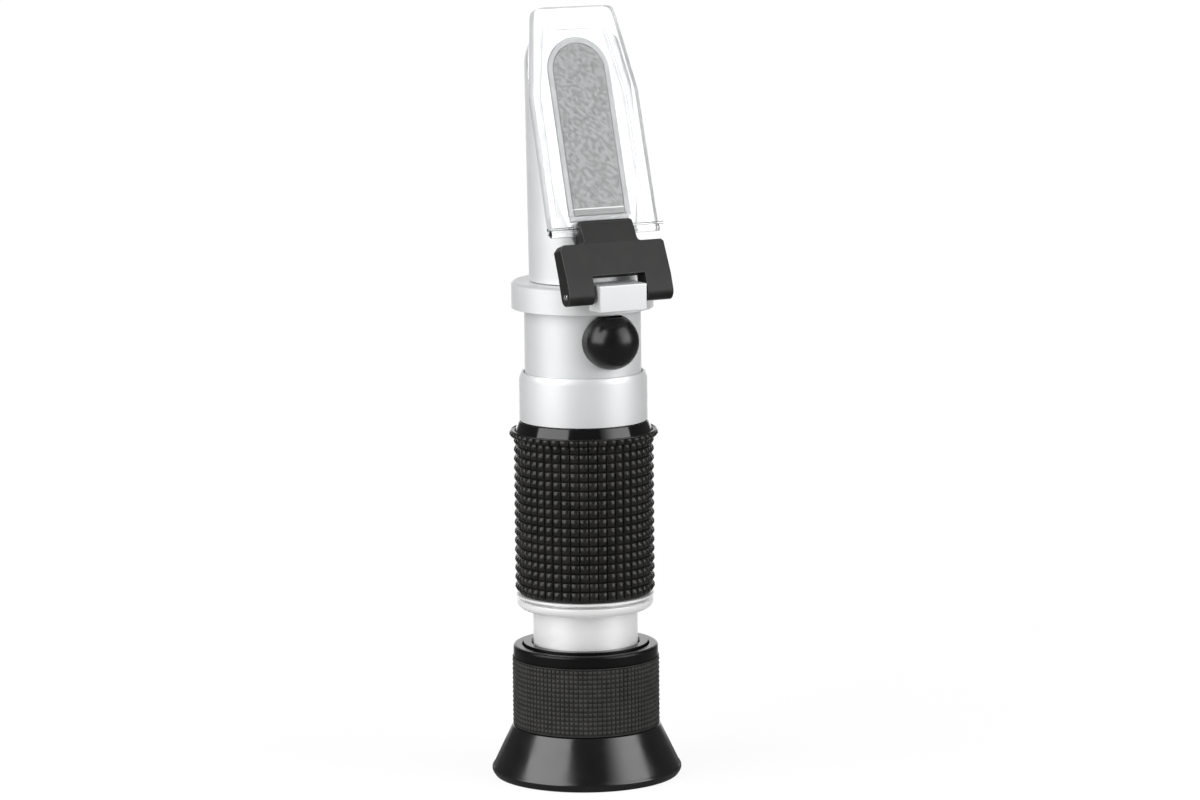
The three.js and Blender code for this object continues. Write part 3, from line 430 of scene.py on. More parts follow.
def stud_mesh(name, width, depth, height, roundness, sink, material):
    """One closed pyramid stud with bellied sides and a small tip, its base sunk below the valley."""
    bellied = [((1 - t ** roundness) ** 0.8, t * height) for t in (0, 0.25, 0.5, 0.74, 0.92)]
    bm = bmesh.new()
    rings = []
    for size, z in [(1.0, -sink), *bellied, (0.07, height)]:
        w, d = width / 2 * size, depth / 2 * size
        rings.append([bm.verts.new((z, x, y)) for x, y in rectangle(-w, -d, w, d)])
    for low, high in zip(rings, rings[1:]):
        for k in range(4):
            bm.faces.new((low[k], low[(k + 1) % 4], high[(k + 1) % 4], high[k]))
    bm.faces.new(rings[0][::-1])
    bm.faces.new(rings[-1])
    return plain_object(name, bm, material, stud_soft_angle)


def stud_tree():
    """Geometry Nodes: studs in rows round a sleeve, each turned to stand out from the axis."""
    tree = bpy.data.node_groups.new("studs_round_a_sleeve", "GeometryNodeTree")
    face = tree.interface
    face.new_socket("Geometry", in_out="INPUT", socket_type="NodeSocketGeometry")
    for name, kind in (("Columns", "Int"), ("Rows", "Int"), ("Pitch", "Float"), ("Radius", "Float"),
                       ("First Height", "Float"), ("Stud", "Object"), ("Finish", "Material")):
        face.new_socket(name, in_out="INPUT", socket_type="NodeSocket" + kind)
    face.new_socket("Geometry", in_out="OUTPUT", socket_type="NodeSocketGeometry")
    given = add_node(tree, "NodeGroupInput").outputs
    total = add_node(tree, "ShaderNodeMath", {0: given["Columns"], 1: given["Rows"]}, operation="MULTIPLY")
    dots = add_node(tree, "GeometryNodePoints", {"Count": total})
    index = add_node(tree, "GeometryNodeInputIndex")
    turn = add_node(tree, "ShaderNodeMath", {0: index, 1: given["Columns"]}, operation="DIVIDE")
    row = add_node(tree, "ShaderNodeMath", {0: turn}, operation="FLOOR")
    angle = add_node(tree, "ShaderNodeMath", {0: turn, 1: 2 * pi}, operation="MULTIPLY")
    rise = add_node(tree, "ShaderNodeMath", {0: row, 1: given["Pitch"]}, operation="MULTIPLY")
    height = add_node(tree, "ShaderNodeMath", {0: rise, 1: given["First Height"]}, operation="ADD")
    across = add_node(tree, "ShaderNodeMath", {0: angle}, operation="COSINE")
    along = add_node(tree, "ShaderNodeMath", {0: angle}, operation="SINE")
    out = add_node(tree, "ShaderNodeCombineXYZ", {0: across, 1: along})
    out = add_node(tree, "ShaderNodeVectorMath", {0: out, "Scale": given["Radius"]}, operation="SCALE")
    lift = add_node(tree, "ShaderNodeCombineXYZ", {2: height})
    spot = add_node(tree, "ShaderNodeVectorMath", {0: out, 1: lift}, operation="ADD")
    on_sleeve = add_node(tree, "GeometryNodeSetPosition", {"Geometry": dots, "Position": spot})
    facing = add_node(tree, "ShaderNodeCombineXYZ", {2: angle})
    stud = add_node(tree, "GeometryNodeObjectInfo", {"Object": given["Stud"]}).outputs["Geometry"]
    studs = add_node(tree, "GeometryNodeInstanceOnPoints", {
        "Points": on_sleeve, "Instance": stud, "Rotation": facing})
    joined = add_node(tree, "GeometryNodeJoinGeometry", {0: studs})
    tree.links.new(given["Geometry"], joined.inputs[0])
    plain = add_node(tree, "GeometryNodeRealizeInstances", {0: joined})
    done = add_node(tree, "GeometryNodeSetMaterial", {"Geometry": plain, "Material": given["Finish"]})
    add_node(tree, "NodeGroupOutput", {0: done})
    return tree


studs_round_a_sleeve = stud_tree()


def studded(sleeve, stud, columns, rows, pitch, radius, first_row):
    """Grows rows of studs on a plain sleeve, by sizes in millimetres, and keeps a plain mesh."""
    modifier = sleeve.modifiers.new("studs", "NODES")
    modifier.node_group = studs_round_a_sleeve
    values = {"Columns": columns, "Rows": rows, "Pitch": pitch * MM, "Radius": radius * MM,
              "First Height": first_row * MM, "Stud": stud, "Finish": sleeve.data.materials[0]}
    for item in studs_round_a_sleeve.interface.items_tree:
        if item.in_out == "INPUT" and item.name in values:
            modifier[item.identifier] = values[item.name]
    applied(sleeve)
    bpy.data.objects.remove(stud)


# Moulded nitrile rubber: a soft dull black with a faint warm bloom; the stud tips are rubbed smoother.
moulded_rubber, tree, finish, place = new_material(
    "moulded_nitrile_rubber", Base_Color=colour("#191817"), Roughness=0.3, IOR=1.52, Specular_IOR_Level=0.34)
bloom = add_node(tree, "ShaderNodeTexNoise", {"Vector": place, "Scale": 1 / (3 * MM), "Detail": 4.0})
tones = add_node(tree, "ShaderNodeValToRGB", {"Fac": bloom}, finish["Base Color"])
set_stops(tones, (0.35, "#161514"), (0.7, "#211F1E"))
pores = add_node(tree, "ShaderNodeTexNoise", {"Vector": place, "Scale": 1 / (0.25 * MM), "Detail": 2.0})
add_node(tree, "ShaderNodeBump", {"Height": pores, "Strength": 0.35, "Distance": 0.03 * MM}, finish["Normal"])
add_node(tree, "ShaderNodeMapRange", {
    "Value": bloom, "From Min": 0.3, "From Max": 0.7, "To Min": 0.26, "To Max": 0.4}, finish["Roughness"])

grip = turned("grip_sleeve", [
    (grip_bore, grip_bottom), (13.5, grip_bottom), (13.8, grip_bottom + 0.1),
    (grip_valley, grip_bottom + grip_foot), (grip_valley, grip_top - 1.65),
    *[(lip_radius + out, grip_top + up) for out, up in lip_section],
    (band_foot + 0.4, band_low - 0.3), (grip_bore, band_low - 0.3)], moulded_rubber)
stud_width = 2 * pi * grip_valley / grip_columns
grip_stud = stud_mesh("grip_stud", stud_width * stud_fill, grip_pitch * stud_fill, stud_height,
                      stud_roundness, stud_sink, moulded_rubber)
studded(grip, grip_stud, grip_columns, grip_rows, grip_pitch, grip_valley,
        grip_bottom + grip_foot + grip_pitch / 2)
lip_stud = stud_mesh("lip_stud", stud_width * lip_stud_fill, lip_stud_length, lip_radius - lip_stud_seat,
                     stud_roundness, lip_stud_sink, moulded_rubber)
studded(grip, lip_stud, grip_columns, 1, grip_pitch, lip_stud_seat, lip_stud_middle)
set_in(grip, "body", "grip_rubber", "grip_sleeve")

# Polished ABS: a deep black that mirrors the lamps in crisp panes.
polished_abs, tree, finish, place = new_material(
    "polished_black_abs", Base_Color=colour("#0B0B0C"), Roughness=0.08, IOR=1.54, Specular_IOR_Level=0.5)
swirl = add_node(tree, "ShaderNodeTexNoise", {"Vector": place, "Scale": 1 / (4 * MM), "Detail": 3.0})
add_node(tree, "ShaderNodeMapRange", {
    "Value": swirl, "From Min": 0.3, "From Max": 0.7, "To Min": 0.06, "To Max": 0.13}, finish["Roughness"])
seat_band = turned("grip_seat_band", eased([
    (grip_bore, band_low), (band_foot, band_low), (band_skirt, skirt_height), (band_neck, band_high),
    (grip_bore, band_high)], 0.15), polished_abs)
set_in(seat_band, "body", "gloss_black", "grip_seat_band")


# ------------------------------------------------ Collar with its hinge lug
# One turned and milled aluminium piece: a thick ring with a small bevel round its top, and at the
# front a square lug, bored across for the hinge pin. A thin spigot goes down into the tube.
collar_radius, collar_bore = 14.85, 8.9
collar_bottom, collar_top = 99.3, 104.9
collar_edge = 0.05
spigot_outer, spigot_inner, spigot_low = 11.0, 9.8, 96.1
lug_width, lug_low, lug_high = 10.9, 100.35, 105.9
lug_back, lug_front, lug_edge = 12.25, 18.6, 0.25
pin_front, pin_height, pin_radius = 16.0, 103.8, 0.75
pin_steps = 32

# Side outlines have the reach to the front as X and the height as Y, and are pushed along X.
from_the_side = Matrix(((0, 0, -1, 0), (-1, 0, 0, 0), (0, 1, 0, 0), (0, 0, 0, 1)))
along_x = Matrix.Rotation(pi / 2, 4, "Y")
at_the_pin = Matrix.Translation((0, -pin_front, pin_height))


def extruded(name, outline, low, high, material, matrix, edge=0):
    """A flat outline pushed from one depth to another, then placed; its edges may be eased."""
    bm = bmesh.new()
    bottom = [bm.verts.new((x, y, low)) for x, y in outline]
    top = [bm.verts.new((x, y, high)) for x, y in outline]
    bm.faces.new(bottom[::-1])
    bm.faces.new(top)
    for k in range(len(outline)):
        n = (k + 1) % len(outline)
        bm.faces.new((bottom[k], bottom[n], top[n], top[k]))
    if edge:
        bmesh.ops.bevel(bm, geom=bm.edges[:], offset=edge, segments=2, affect="EDGES", profile=0.5,
                        clamp_overlap=True)
    bmesh.ops.transform(bm, matrix=matrix, verts=bm.verts)
    return plain_object(name, bm, material)


collar = turned("collar", eased([
    (collar_bore, collar_bottom), (spigot_inner, collar_bottom), (spigot_inner, spigot_low),
    (spigot_outer, spigot_low), (spigot_outer, collar_bottom), (collar_radius - collar_edge, collar_bottom),
    (collar_radius, collar_bottom + collar_edge), (collar_radius, collar_top - 0.5),
    (collar_radius - 0.45, collar_top - 0.08), (collar_radius - 0.6, collar_top), (collar_bore, collar_top)],
    collar_edge), satin_aluminium)
lug = extruded("lug", rectangle(lug_back, lug_low, lug_front, lug_high), -lug_width / 2, lug_width / 2,
               satin_aluminium, from_the_side, lug_edge)
cut_with(collar, lug, "UNION")
cut_with(collar, rod("pin_bore", pin_radius + seat_gap, -lug_width, lug_width, satin_aluminium, pin_steps,
                     at_the_pin @ along_x))
cut_with(collar, rod("boss_room", boss_radius + fit_gap, 0, tube_radius, satin_aluminium,
                     matrix=towards_front(screw_height)))
set_in(collar, "body", "silver", "collar")


# ------------------------------------------------ Prism head
# A slightly flared aluminium stub with a round crown, milled to an oblique face; the face has a
# long round-topped pocket for the prism and a shallow one for the cement round it.
head_bottom, head_top = 105.05, 156.55
head_low, head_high, head_taper, crown_radius = 11.1, 11.6, 44.6, 7.5
head_bore, head_bore_length, head_spigot = 6.4, 19.5, 4
head_neck = collar_bore - fit_gap
cover_tilt = radians(17)
face_depth = -3.6
face_cut_low, face_cut_high, face_cut_reach = -60, 120, 40
prism_low, prism_arc, prism_half = 17.2, 47.45, 5.8
prism_depth, prism_proud = 5.5, 0.25
rim_width, rim_depth, rim_proud = 1.1, 0.7, 0.2

# The hinge frame has its origin on the pin, X across, Y up the oblique face and Z out of it.
hinge_frame = at_the_pin @ Matrix.Rotation(pi / 2 - cover_tilt, 4, "X")
up_the_face = hinge_frame.to_3x3() @ Vector((0, 1, 0))
out_of_face = hinge_frame.to_3x3() @ Vector((0, 0, 1))


def prism_outline(grow):
    """Flat foot, straight sides and a round top, grown by a margin."""
    half = prism_half + grow
    arch = [(half * cos(a), prism_arc + half * sin(a)) for a in arc(40, turn=pi)]
    return [(-half, prism_low - grow), (half, prism_low - grow), *arch]


taper_top = head_bottom + head_taper
crown = [(crown_radius + (head_high - crown_radius) * cos(a), taper_top + (head_top - taper_top) * sin(a))
         for a in arc(12, 1)]
head = turned("prism_head", [
    (head_bore, head_bottom - head_spigot), (head_neck, head_bottom - head_spigot),
    (head_neck, head_bottom), (head_low - 0.1, head_bottom), (head_low, head_bottom + 0.1),
    (head_high, taper_top), *crown, (0, head_top),
    (0, head_bottom + head_bore_length), (head_bore, head_bottom + head_bore_length)], satin_aluminium)
wide = 3 * head_high
pocket_floor = face_depth + prism_proud - prism_depth - seat_gap
rebate_floor = face_depth + rim_proud - rim_depth - seat_gap
pocket_reach = 2
cut_with(head, extruded("face_cut", rectangle(-wide, face_cut_low, wide, face_cut_high), face_depth,
                        face_cut_reach, satin_aluminium, hinge_frame))
cut_with(head, extruded("prism_pocket", prism_outline(seat_gap), pocket_floor, pocket_reach,
                        satin_aluminium, hinge_frame))
cut_with(head, extruded("cement_rebate", prism_outline(rim_width + 2 * seat_gap), rebate_floor, pocket_reach,
                        satin_aluminium, hinge_frame))

# The oblique face is milled after the blasting, with the cutter's faint arcs in its roughness; its colour is
# painted a little darker all over, as painted shade for its foot in the notch behind the bracket.
milled_face_painted_shade, tree, finish, place = new_material(
    "milled_anodised_aluminium", Base_Color=colour("#C4C5C7"), Metallic=0.6, Roughness=0.4)
arcs = add_node(tree, "ShaderNodeTexWave", {"Vector": place, "Scale": 1 / (20 * MM), "Distortion": 1.5},
                wave_type="RINGS")
add_node(tree, "ShaderNodeMapRange", {"Value": arcs.outputs["Fac"], "To Min": 0.36, "To Max": 0.44},
         finish["Roughness"])
head.data.materials.append(milled_face_painted_shade)
for face in head.data.polygons:
    if face.normal.dot(out_of_face) > 0.99:
        face.material_index = 1
set_in(head, "body", "silver", "prism_head")


# ------------------------------------------------ Measuring prism and cement rim
# A block of optical glass whose sample face is finely ground, so it looks an even grey; a pale
# band of cement holds it in the head.
facet_top, painted_highlight_width = 18.5, 0.11
prism_edge, rim_edge = 0.12, 0.1

ground_glass, tree, finish, place = new_material(
    "ground_optical_glass", Base_Color=colour("#A9AAAB"), Roughness=0.55, IOR=1.52)
# The real grinding marks are some 0.02 mm; they are drawn at 0.5 mm, slanting, so that they show.
turned_marks = add_node(tree, "ShaderNodeMapping", {"Vector": place, "Rotation": (0, radians(50), 0)})
slant = add_node(tree, "ShaderNodeMapping", {"Vector": turned_marks, "Scale": (1.0, 1.0, 0.5)})
marks = add_node(tree, "ShaderNodeTexNoise", {
    "Vector": slant, "Scale": 1 / (0.55 * MM), "Detail": 0.0, "Roughness": 0.5})
ground = add_node(tree, "ShaderNodeValToRGB", {"Fac": marks})
set_stops(ground, (0.38, "#464748"), (0.62, "#7F8081"))
# The grinding stops above the foot; the fine line there is painted near white as a painted highlight of the
# lit foot edge, and the plain grey below it is painted as the shaded look of a sloped facet that is not
# modelled.
facet_edge = (up_the_face.dot(hinge_frame.translation) + facet_top) * MM
climb = add_node(tree, "ShaderNodeVectorMath", {0: place, 1: tuple(up_the_face)},
                 operation="DOT_PRODUCT").outputs["Value"]
above = add_node(tree, "ShaderNodeMath", {0: climb, 1: facet_edge}, operation="GREATER_THAN")
on_painted_highlight = add_node(tree, "ShaderNodeMath", {0: climb, 1: facet_edge, 2: painted_highlight_width * MM}, operation="COMPARE")
ground_above_shaded_facet = add_node(tree, "ShaderNodeMix", {"Factor": above, 6: colour("#6B6C6D"), 7: ground}, data_type="RGBA")
with_painted_highlight = add_node(tree, "ShaderNodeMix", {"Factor": on_painted_highlight, 6: ground_above_shaded_facet.outputs[2], 7: colour("#F0F0F0")},
                 data_type="RGBA")
tree.links.new(with_painted_highlight.outputs[2], finish["Base Color"])
add_node(tree, "ShaderNodeBump", {"Height": marks, "Strength": 0.25, "Distance": 0.04 * MM}, finish["Normal"])
prism_top = face_depth + prism_proud
prism = extruded("measuring_prism", prism_outline(0), prism_top - prism_depth, prism_top, ground_glass,
                 hinge_frame, prism_edge)
set_in(prism, "body", "frosted_glass", "measuring_prism")

# Optical cement: pale and satin, with slow thick and thin places.
optical_cement, tree, finish, place = new_material(
    "pale_optical_cement", Base_Color=colour("#BABBBD"), Roughness=0.45, IOR=1.5)
flow = add_node(tree, "ShaderNodeTexNoise", {"Vector": place, "Scale": 1 / (5 * MM), "Detail": 2.0})
tones = add_node(tree, "ShaderNodeValToRGB", {"Fac": flow}, finish["Base Color"])
set_stops(tones, (0.3, "#9C9D9F"), (0.7, "#B4B5B7"))
rim_top = face_depth + rim_proud
rim = extruded("cement_rim", prism_outline(seat_gap + rim_width), rim_top - rim_depth, rim_top,
               optical_cement, hinge_frame, rim_edge)
cut_with(rim, extruded("rim_inside", prism_outline(1.6 * seat_gap), rim_top - rim_depth - overrun,
                       rim_top + overrun, optical_cement, hinge_frame))
set_in(rim, "body", "white_rim", "prism_rim")


# ------------------------------------------------ Cover plate
# Clear cast acrylic, milled hollow over the prism so that a drop spreads evenly, with a round bar
# and a fine groove along its foot, where the bracket grips it.
cover_low, cover_high, cover_shoulder = 13.4, 60.8, 42.6
cover_half_low, cover_half_shoulder, cover_half_high = 12.4, 12.1, 9.1
cover_corner, cover_inner, cover_outer, cover_edge = 1.5, -3.3, -1.0, 0.22
cover_rim, recess_depth, recess_low = 2.2, 0.5, 3.7
bar_radius, bar_stand_out, bar_edge = 0.78, 0.12, 0.12
groove_radius, groove_rise = 0.3, 0.15
tab_half, notch_low, notch_top = 6.1, 11, 16.2
polished_low = 1.6


def cover_outline(margin, low):
    """The plate's outline drawn in by a margin: a slight taper, two shoulders and round upper corners."""
    high = cover_high - margin
    top, mid, foot = cover_half_high - margin, cover_half_shoulder - margin, cover_half_low - margin
    lean = (cover_half_shoulder - cover_half_high) / (cover_high - cover_shoulder)
    side = (top + lean * cover_corner, high - cover_corner)
    tip = (top, high)
    end = (top - cover_corner, high)
    curve = [tuple((1 - t) ** 2 * a + 2 * t * (1 - t) * b + t * t * c for a, b, c in zip(side, tip, end))
             for t in (k / 6 for k in range(7))]
    right = [(foot, low), (mid, cover_shoulder), *curve]
    return right + [(-x, y) for x, y in reversed(right)]


clear_acrylic, tree, finish, place = new_material(
    "clear_cast_acrylic", Base_Color=colour("#FCFDFD"), Roughness=0.02, IOR=1.49, Specular_IOR_Level=0.25,
    Transmission_Weight=1.0)
wipe = add_node(tree, "ShaderNodeTexNoise", {"Vector": place, "Scale": 1 / (6 * MM), "Detail": 3.0})
add_node(tree, "ShaderNodeMapRange", {
    "Value": wipe, "From Min": 0.35, "From Max": 0.75, "To Min": 0.015, "To Max": 0.05}, finish["Roughness"])
cover = extruded("cover_plate", cover_outline(0, cover_low), cover_inner, cover_outer, clear_acrylic,
                 hinge_frame, cover_edge)
bar_half = cover_half_low + bar_stand_out
bar_place = Matrix.Translation((0, cover_low, cover_outer - bar_radius + bar_stand_out))
bar_profile = eased(rectangle(0, -bar_half, bar_radius, bar_half), bar_edge, closed=False)
cut_with(cover, turned("cover_bar", bar_profile, clear_acrylic, 32, hinge_frame @ bar_place @ along_x),
         "UNION")
groove_place = Matrix.Translation((0, cover_low + bar_radius + groove_rise, cover_outer))
cut_with(cover, rod("bar_groove", groove_radius, -cover_half_low - overrun, cover_half_low + overrun,
                    clear_acrylic, 24, hinge_frame @ groove_place @ along_x))
cut_with(cover, extruded("cover_recess", cover_outline(cover_rim, cover_low + recess_low),
                         cover_inner - overrun, cover_inner + recess_depth, clear_acrylic, hinge_frame))
notch_half = tab_half + fit_gap
cut_with(cover, extruded("cover_notch", rectangle(-notch_half, notch_low, notch_half, notch_top),
                         cover_inner - overrun, cover_outer + overrun, clear_acrylic, hinge_frame))

# Where the cutter ran the acrylic is not polished, so the plate's edges look pale.
milled_acrylic, tree, finish, place = new_material(
    "milled_acrylic_edge", Base_Color=colour("#DEE0E1"), Roughness=0.4, IOR=1.49, Transmission_Weight=0.45)
chatter = add_node(tree, "ShaderNodeTexNoise", {"Vector": place, "Scale": 1 / (0.5 * MM)})
add_node(tree, "ShaderNodeMapRange", {"Value": chatter, "To Min": 0.3, "To Max": 0.5}, finish["Roughness"])
cover.data.materials.append(milled_acrylic)
to_hinge = hinge_frame.inverted()
for face in cover.data.polygons:
    on_edge = abs(face.normal.dot(out_of_face)) < 0.5
    if on_edge and (to_hinge @ (face.center / MM)).y > cover_low + polished_low:
        face.material_index = 1
set_in(cover, "cover", "clear_acrylic", "cover_plate")


# ------------------------------------------------ Hinge bracket and pin
# Black ABS, moulded with a fine spark-eroded texture: a wide body notched round the lug and a tab
# that grips the cover's foot. A steel pin runs right through.
bracket_half, bracket_top, tab_top = 12.0, 10.7, 15.7
tab_face, shoulder_face, bracket_face, face_top = -0.65, 0.6, 1.85, 3.3
bracket_back, bracket_boss = -2.5, 1.95
bracket_notch_half, bracket_notch_top, bracket_end = 6.1, 3.8, -4
bracket_corner, half_corner, tab_corner = 1.0, 0.5, 0.2
bracket_edge = 0.3
bracket_back_cut, bracket_front_cut, bracket_bore_half = -6, 5, 20
tab_foot_half, tab_bevel = 6.9, 0.35

eroded_abs, tree, finish, place = new_material(
    "spark_eroded_black_abs", Base_Color=colour("#161514"), Roughness=0.52, IOR=1.54, Specular_IOR_Level=0.42)
pits = add_node(tree, "ShaderNodeTexNoise", {
    "Vector": place, "Scale": 1 / (0.3 * MM), "Detail": 3.0, "Roughness": 0.7})
add_node(tree, "ShaderNodeBump", {"Height": pits, "Strength": 0.5, "Distance": 0.02 * MM}, finish["Normal"])
patch = add_node(tree, "ShaderNodeTexNoise", {"Vector": place, "Scale": 1 / (4 * MM), "Detail": 3.0})
tones = add_node(tree, "ShaderNodeValToRGB", {"Fac": patch}, finish["Base Color"])
set_stops(tones, (0.3, "#121110"), (0.7, "#1A1918"))

round_boss = [(bracket_boss * cos(pi + a), bracket_boss * sin(pi + a)) for a in arc(16, turn=pi)]
side_outline = [
    (bracket_back, bracket_top), (-bracket_boss, bracket_notch_top), *round_boss,
    (bracket_face, face_top), (shoulder_face, bracket_top), (tab_face, tab_top - tab_bevel),
    (tab_face - tab_bevel, tab_top), (cover_inner, tab_top), (cover_inner, bracket_top)]
# The side outline's X is the way out of the face, so it is turned to stand along the pin.
across_the_face = hinge_frame @ Matrix(((0, 0, 1, 0), (0, 1, 0, 0), (1, 0, 0, 0), (0, 0, 0, 1)))
bracket = extruded("hinge_bracket", side_outline, -bracket_half, bracket_half, eroded_abs, across_the_face)
tab_side = [
    (tab_foot_half, bracket_top), (tab_foot_half - 0.45, bracket_top + 0.12),
    (tab_foot_half - 0.7, bracket_top + 0.4), (tab_half, bracket_top + 0.8),
    (tab_half, tab_top - half_corner), (tab_half - tab_corner, tab_top - tab_corner),
    (tab_half - half_corner, tab_top)]
front_outline = [
    (-bracket_half, bracket_end), (-bracket_notch_half, bracket_end),
    (-bracket_notch_half, bracket_notch_top), (bracket_notch_half, bracket_notch_top),
    (bracket_notch_half, bracket_end), (bracket_half, bracket_end),
    (bracket_half, bracket_top - half_corner), (bracket_half - half_corner, bracket_top),
    *tab_side, *[(-x, y) for x, y in reversed(tab_side)],
    (bracket_corner - bracket_half, bracket_top), (-bracket_half, bracket_top - bracket_corner)]
cut_with(bracket, extruded("bracket_trim", front_outline, bracket_back_cut, bracket_front_cut, eroded_abs,
                           hinge_frame), "INTERSECT")
cut_with(bracket, rod("bracket_bore", pin_radius + seat_gap, -bracket_bore_half, bracket_bore_half,
                      eroded_abs, pin_steps, hinge_frame @ along_x))

# The mould's edges are polished, so the eased edges are glossier; their colour is also painted a lighter
# grey, as a painted highlight along them.
edge_highlight_abs, tree, finish, place = new_material(
    "burnished_black_abs", Base_Color=colour("#484746"), Roughness=0.3, IOR=1.54, Specular_IOR_Level=1.0)
rub = add_node(tree, "ShaderNodeTexNoise", {"Vector": place, "Scale": 1 / (1.5 * MM)})
add_node(tree, "ShaderNodeMapRange", {"Value": rub, "To Min": 0.24, "To Max": 0.36}, finish["Roughness"])
bracket.data.materials.append(edge_highlight_abs)
easing = bracket.modifiers.new("eased_edges", "BEVEL")
# The bevel's faces take the edge material with its painted highlight.
easing.material = 1
easing.width = bracket_edge * MM
easing.segments = 3
easing.limit_method = "ANGLE"
easing.angle_limit = radians(28)
applied(bracket)
bracket.data.set_sharp_from_angle(angle=radians(sharp_angle))
set_in(bracket, "cover", "matte_black", "hinge_bracket")

# Ground steel: bright, with the fine rings of the grinding wheel round it.
ground_steel, tree, finish, place = new_material(
    "ground_steel", Base_Color=colour("#E4E4E6"), Metallic=1.0, Roughness=0.18)
wheel = add_node(tree, "ShaderNodeTexNoise", {"Vector": place, "Scale": 1 / (0.4 * MM)})
add_node(tree, "ShaderNodeMapRange", {"Value": wheel, "To Min": 0.12, "To Max": 0.26}, finish["Roughness"])
pin_half = bracket_half + 0.12
pin_end = [(0, pin_half), (0.4, pin_half - 0.04), (0.62, pin_half - 0.14), (pin_radius, pin_half - 0.35)]
pin = turned("hinge_pin", [(radius, -reach) for radius, reach in pin_end] + pin_end[::-1], ground_steel,
             pin_steps, at_the_pin @ along_x)
set_in(pin, "body", "steel", "hinge_pin")


# ------------------------------------------------ Calibration screw, boss and cap
# A slotted brass screw in a short anodised boss on the front of the tube, hidden by a push-on cap
# of glossy rubber, whose rim is cut to the round of the tube and whose top clears the collar.
cap_radius, cap_front, cap_cavity_air = 5.85, 6.6, 0.5
cap_top = screw_height + cap_radius - 0.55
tube_room_half = 12
collar_room_half, collar_room_height, collar_room_reach = 9, 3, 30
boss_reach = tube_radius + 3.3
dome_base = tube_radius + cap_front - cap_radius
dome_front = dome_base + cap_radius

# Black rubber from a polished mould, its skin dulled by handling.
handled_rubber, tree, finish, place = new_material(
    "handled_black_rubber", Base_Color=colour("#0C0C0C"), Roughness=0.26, IOR=1.5)
touch = add_node(tree, "ShaderNodeTexNoise", {"Vector": place, "Scale": 1 / (4 * MM), "Detail": 4.0})
add_node(tree, "ShaderNodeMapRange", {
    "Value": touch, "From Min": 0.3, "From Max": 0.7, "To Min": 0.22, "To Max": 0.32}, finish["Roughness"])
dents = add_node(tree, "ShaderNodeTexNoise", {"Vector": place, "Scale": 1 / (2.4 * MM)})
add_node(tree, "ShaderNodeBump", {"Height": dents, "Strength": 0.2, "Distance": 0.06 * MM}, finish["Normal"])

dome = [(cap_radius * cos(a), dome_base + cap_radius * sin(a)) for a in arc(24)[:-1]]
cap = turned("screw_cap", [(0, 0), (cap_radius, 0), *dome, (0, dome_front)], handled_rubber, 96,
             towards_front(screw_height))
cut_with(cap, rod("cap_cavity", boss_radius + fit_gap, -overrun, boss_reach + cap_cavity_air, handled_rubber,
                  64, towards_front(screw_height)))
cut_with(cap, rod("tube_room", tube_radius + fit_gap, screw_height - tube_room_half,
                  screw_height + tube_room_half, handled_rubber, 160))
collar_room = rectangle(-collar_room_half, cap_top, collar_room_half, cap_top + collar_room_height)
cut_with(cap, extruded("collar_room", collar_room, -collar_room_reach, collar_room_reach, handled_rubber,
                       Matrix.Rotation(pi / 2, 4, "X")))
set_in(cap, "cap", "gloss_rubber", "screw_cap")

# Turned brass: warm, bright, with rings left by the lathe.
turned_brass, tree, finish, place = new_material(
    "turned_brass", Base_Color=colour("#C9A95E"), Metallic=1.0, Roughness=0.25)
lathe = add_node(tree, "ShaderNodeTexNoise", {"Vector": place, "Scale": 1 / (0.5 * MM)})
add_node(tree, "ShaderNodeMapRange", {"Value": lathe, "To Min": 0.18, "To Max": 0.36}, finish["Roughness"])


def finished(material, *nodes):
    """Gives CAD solids that keep their shape a finished material."""
    for name in nodes:
        shown[name].data.materials.clear()
        shown[name].data.materials.append(material)


finished(turned_brass, "calibration_screw")
finished(satin_aluminium, "screw_boss")


# ------------------------------------------------ Focus ring, nut and knurled sleeve
# The turning part of the eyepiece: a black anodised shell, the nut that keeps it on the barrel,
# and round it a rubber sleeve moulded with a fine square knurl.
sleeve_bottom, sleeve_top = 10.75, 25.2
eye_hole, shoulder_top = 7.8, 12.05
neck_low, neck_inner, neck_outer = 7.7, 11.3, 12.6
ring_outer, shell_bore = 14.2, 13.4
band_bottom, band_top, band_radius = 25.35, 27.8, 15.25
nut_bore, nut_radius, nut_bottom, nut_top, nut_lead = 11.3, 13.1, 14.15, 28.3, 0.25
shell_edge = 0.14

black_anodised, tree, finish, place = new_material(
    "black_anodised_aluminium", Base_Color=colour("#0A0A0A"), Roughness=0.28, Specular_IOR_Level=0.24)
grain = add_node(tree, "ShaderNodeTexNoise", {"Vector": place, "Scale": 1 / (0.25 * MM), "Detail": 2.0})
add_node(tree, "ShaderNodeBump", {"Height": grain, "Strength": 0.2, "Distance": 0.01 * MM}, finish["Normal"])
add_node(tree, "ShaderNodeMapRange", {"Value": grain, "To Min": 0.26, "To Max": 0.34}, finish["Roughness"])

focus_ring = turned("focus_ring", eased([
    (eye_hole, sleeve_bottom), (neck_inner, sleeve_bottom), (neck_inner, neck_low), (neck_outer, neck_low),
    (neck_outer, sleeve_bottom), (ring_outer, sleeve_bottom), (ring_outer, band_bottom),
    (band_radius, band_bottom), (band_radius, band_top - 0.5), (band_radius - 0.14, band_top - 0.14),
    (band_radius - 0.5, band_top), (shell_bore, band_top), (shell_bore, shoulder_top),
    (eye_hole, shoulder_top)], shell_edge), black_anodised)
set_in(focus_ring, "eyepiece", "black_metal", "focus_ring")
focus_nut = turned("focus_nut", eased([
    (nut_bore, nut_bottom), (nut_radius, nut_bottom), (nut_radius, nut_top), (nut_bore + nut_lead, nut_top),
    (nut_bore, nut_top - nut_lead)], turned_edge), black_anodised)
set_in(focus_nut, "eyepiece", "black_metal", "focus_nut")

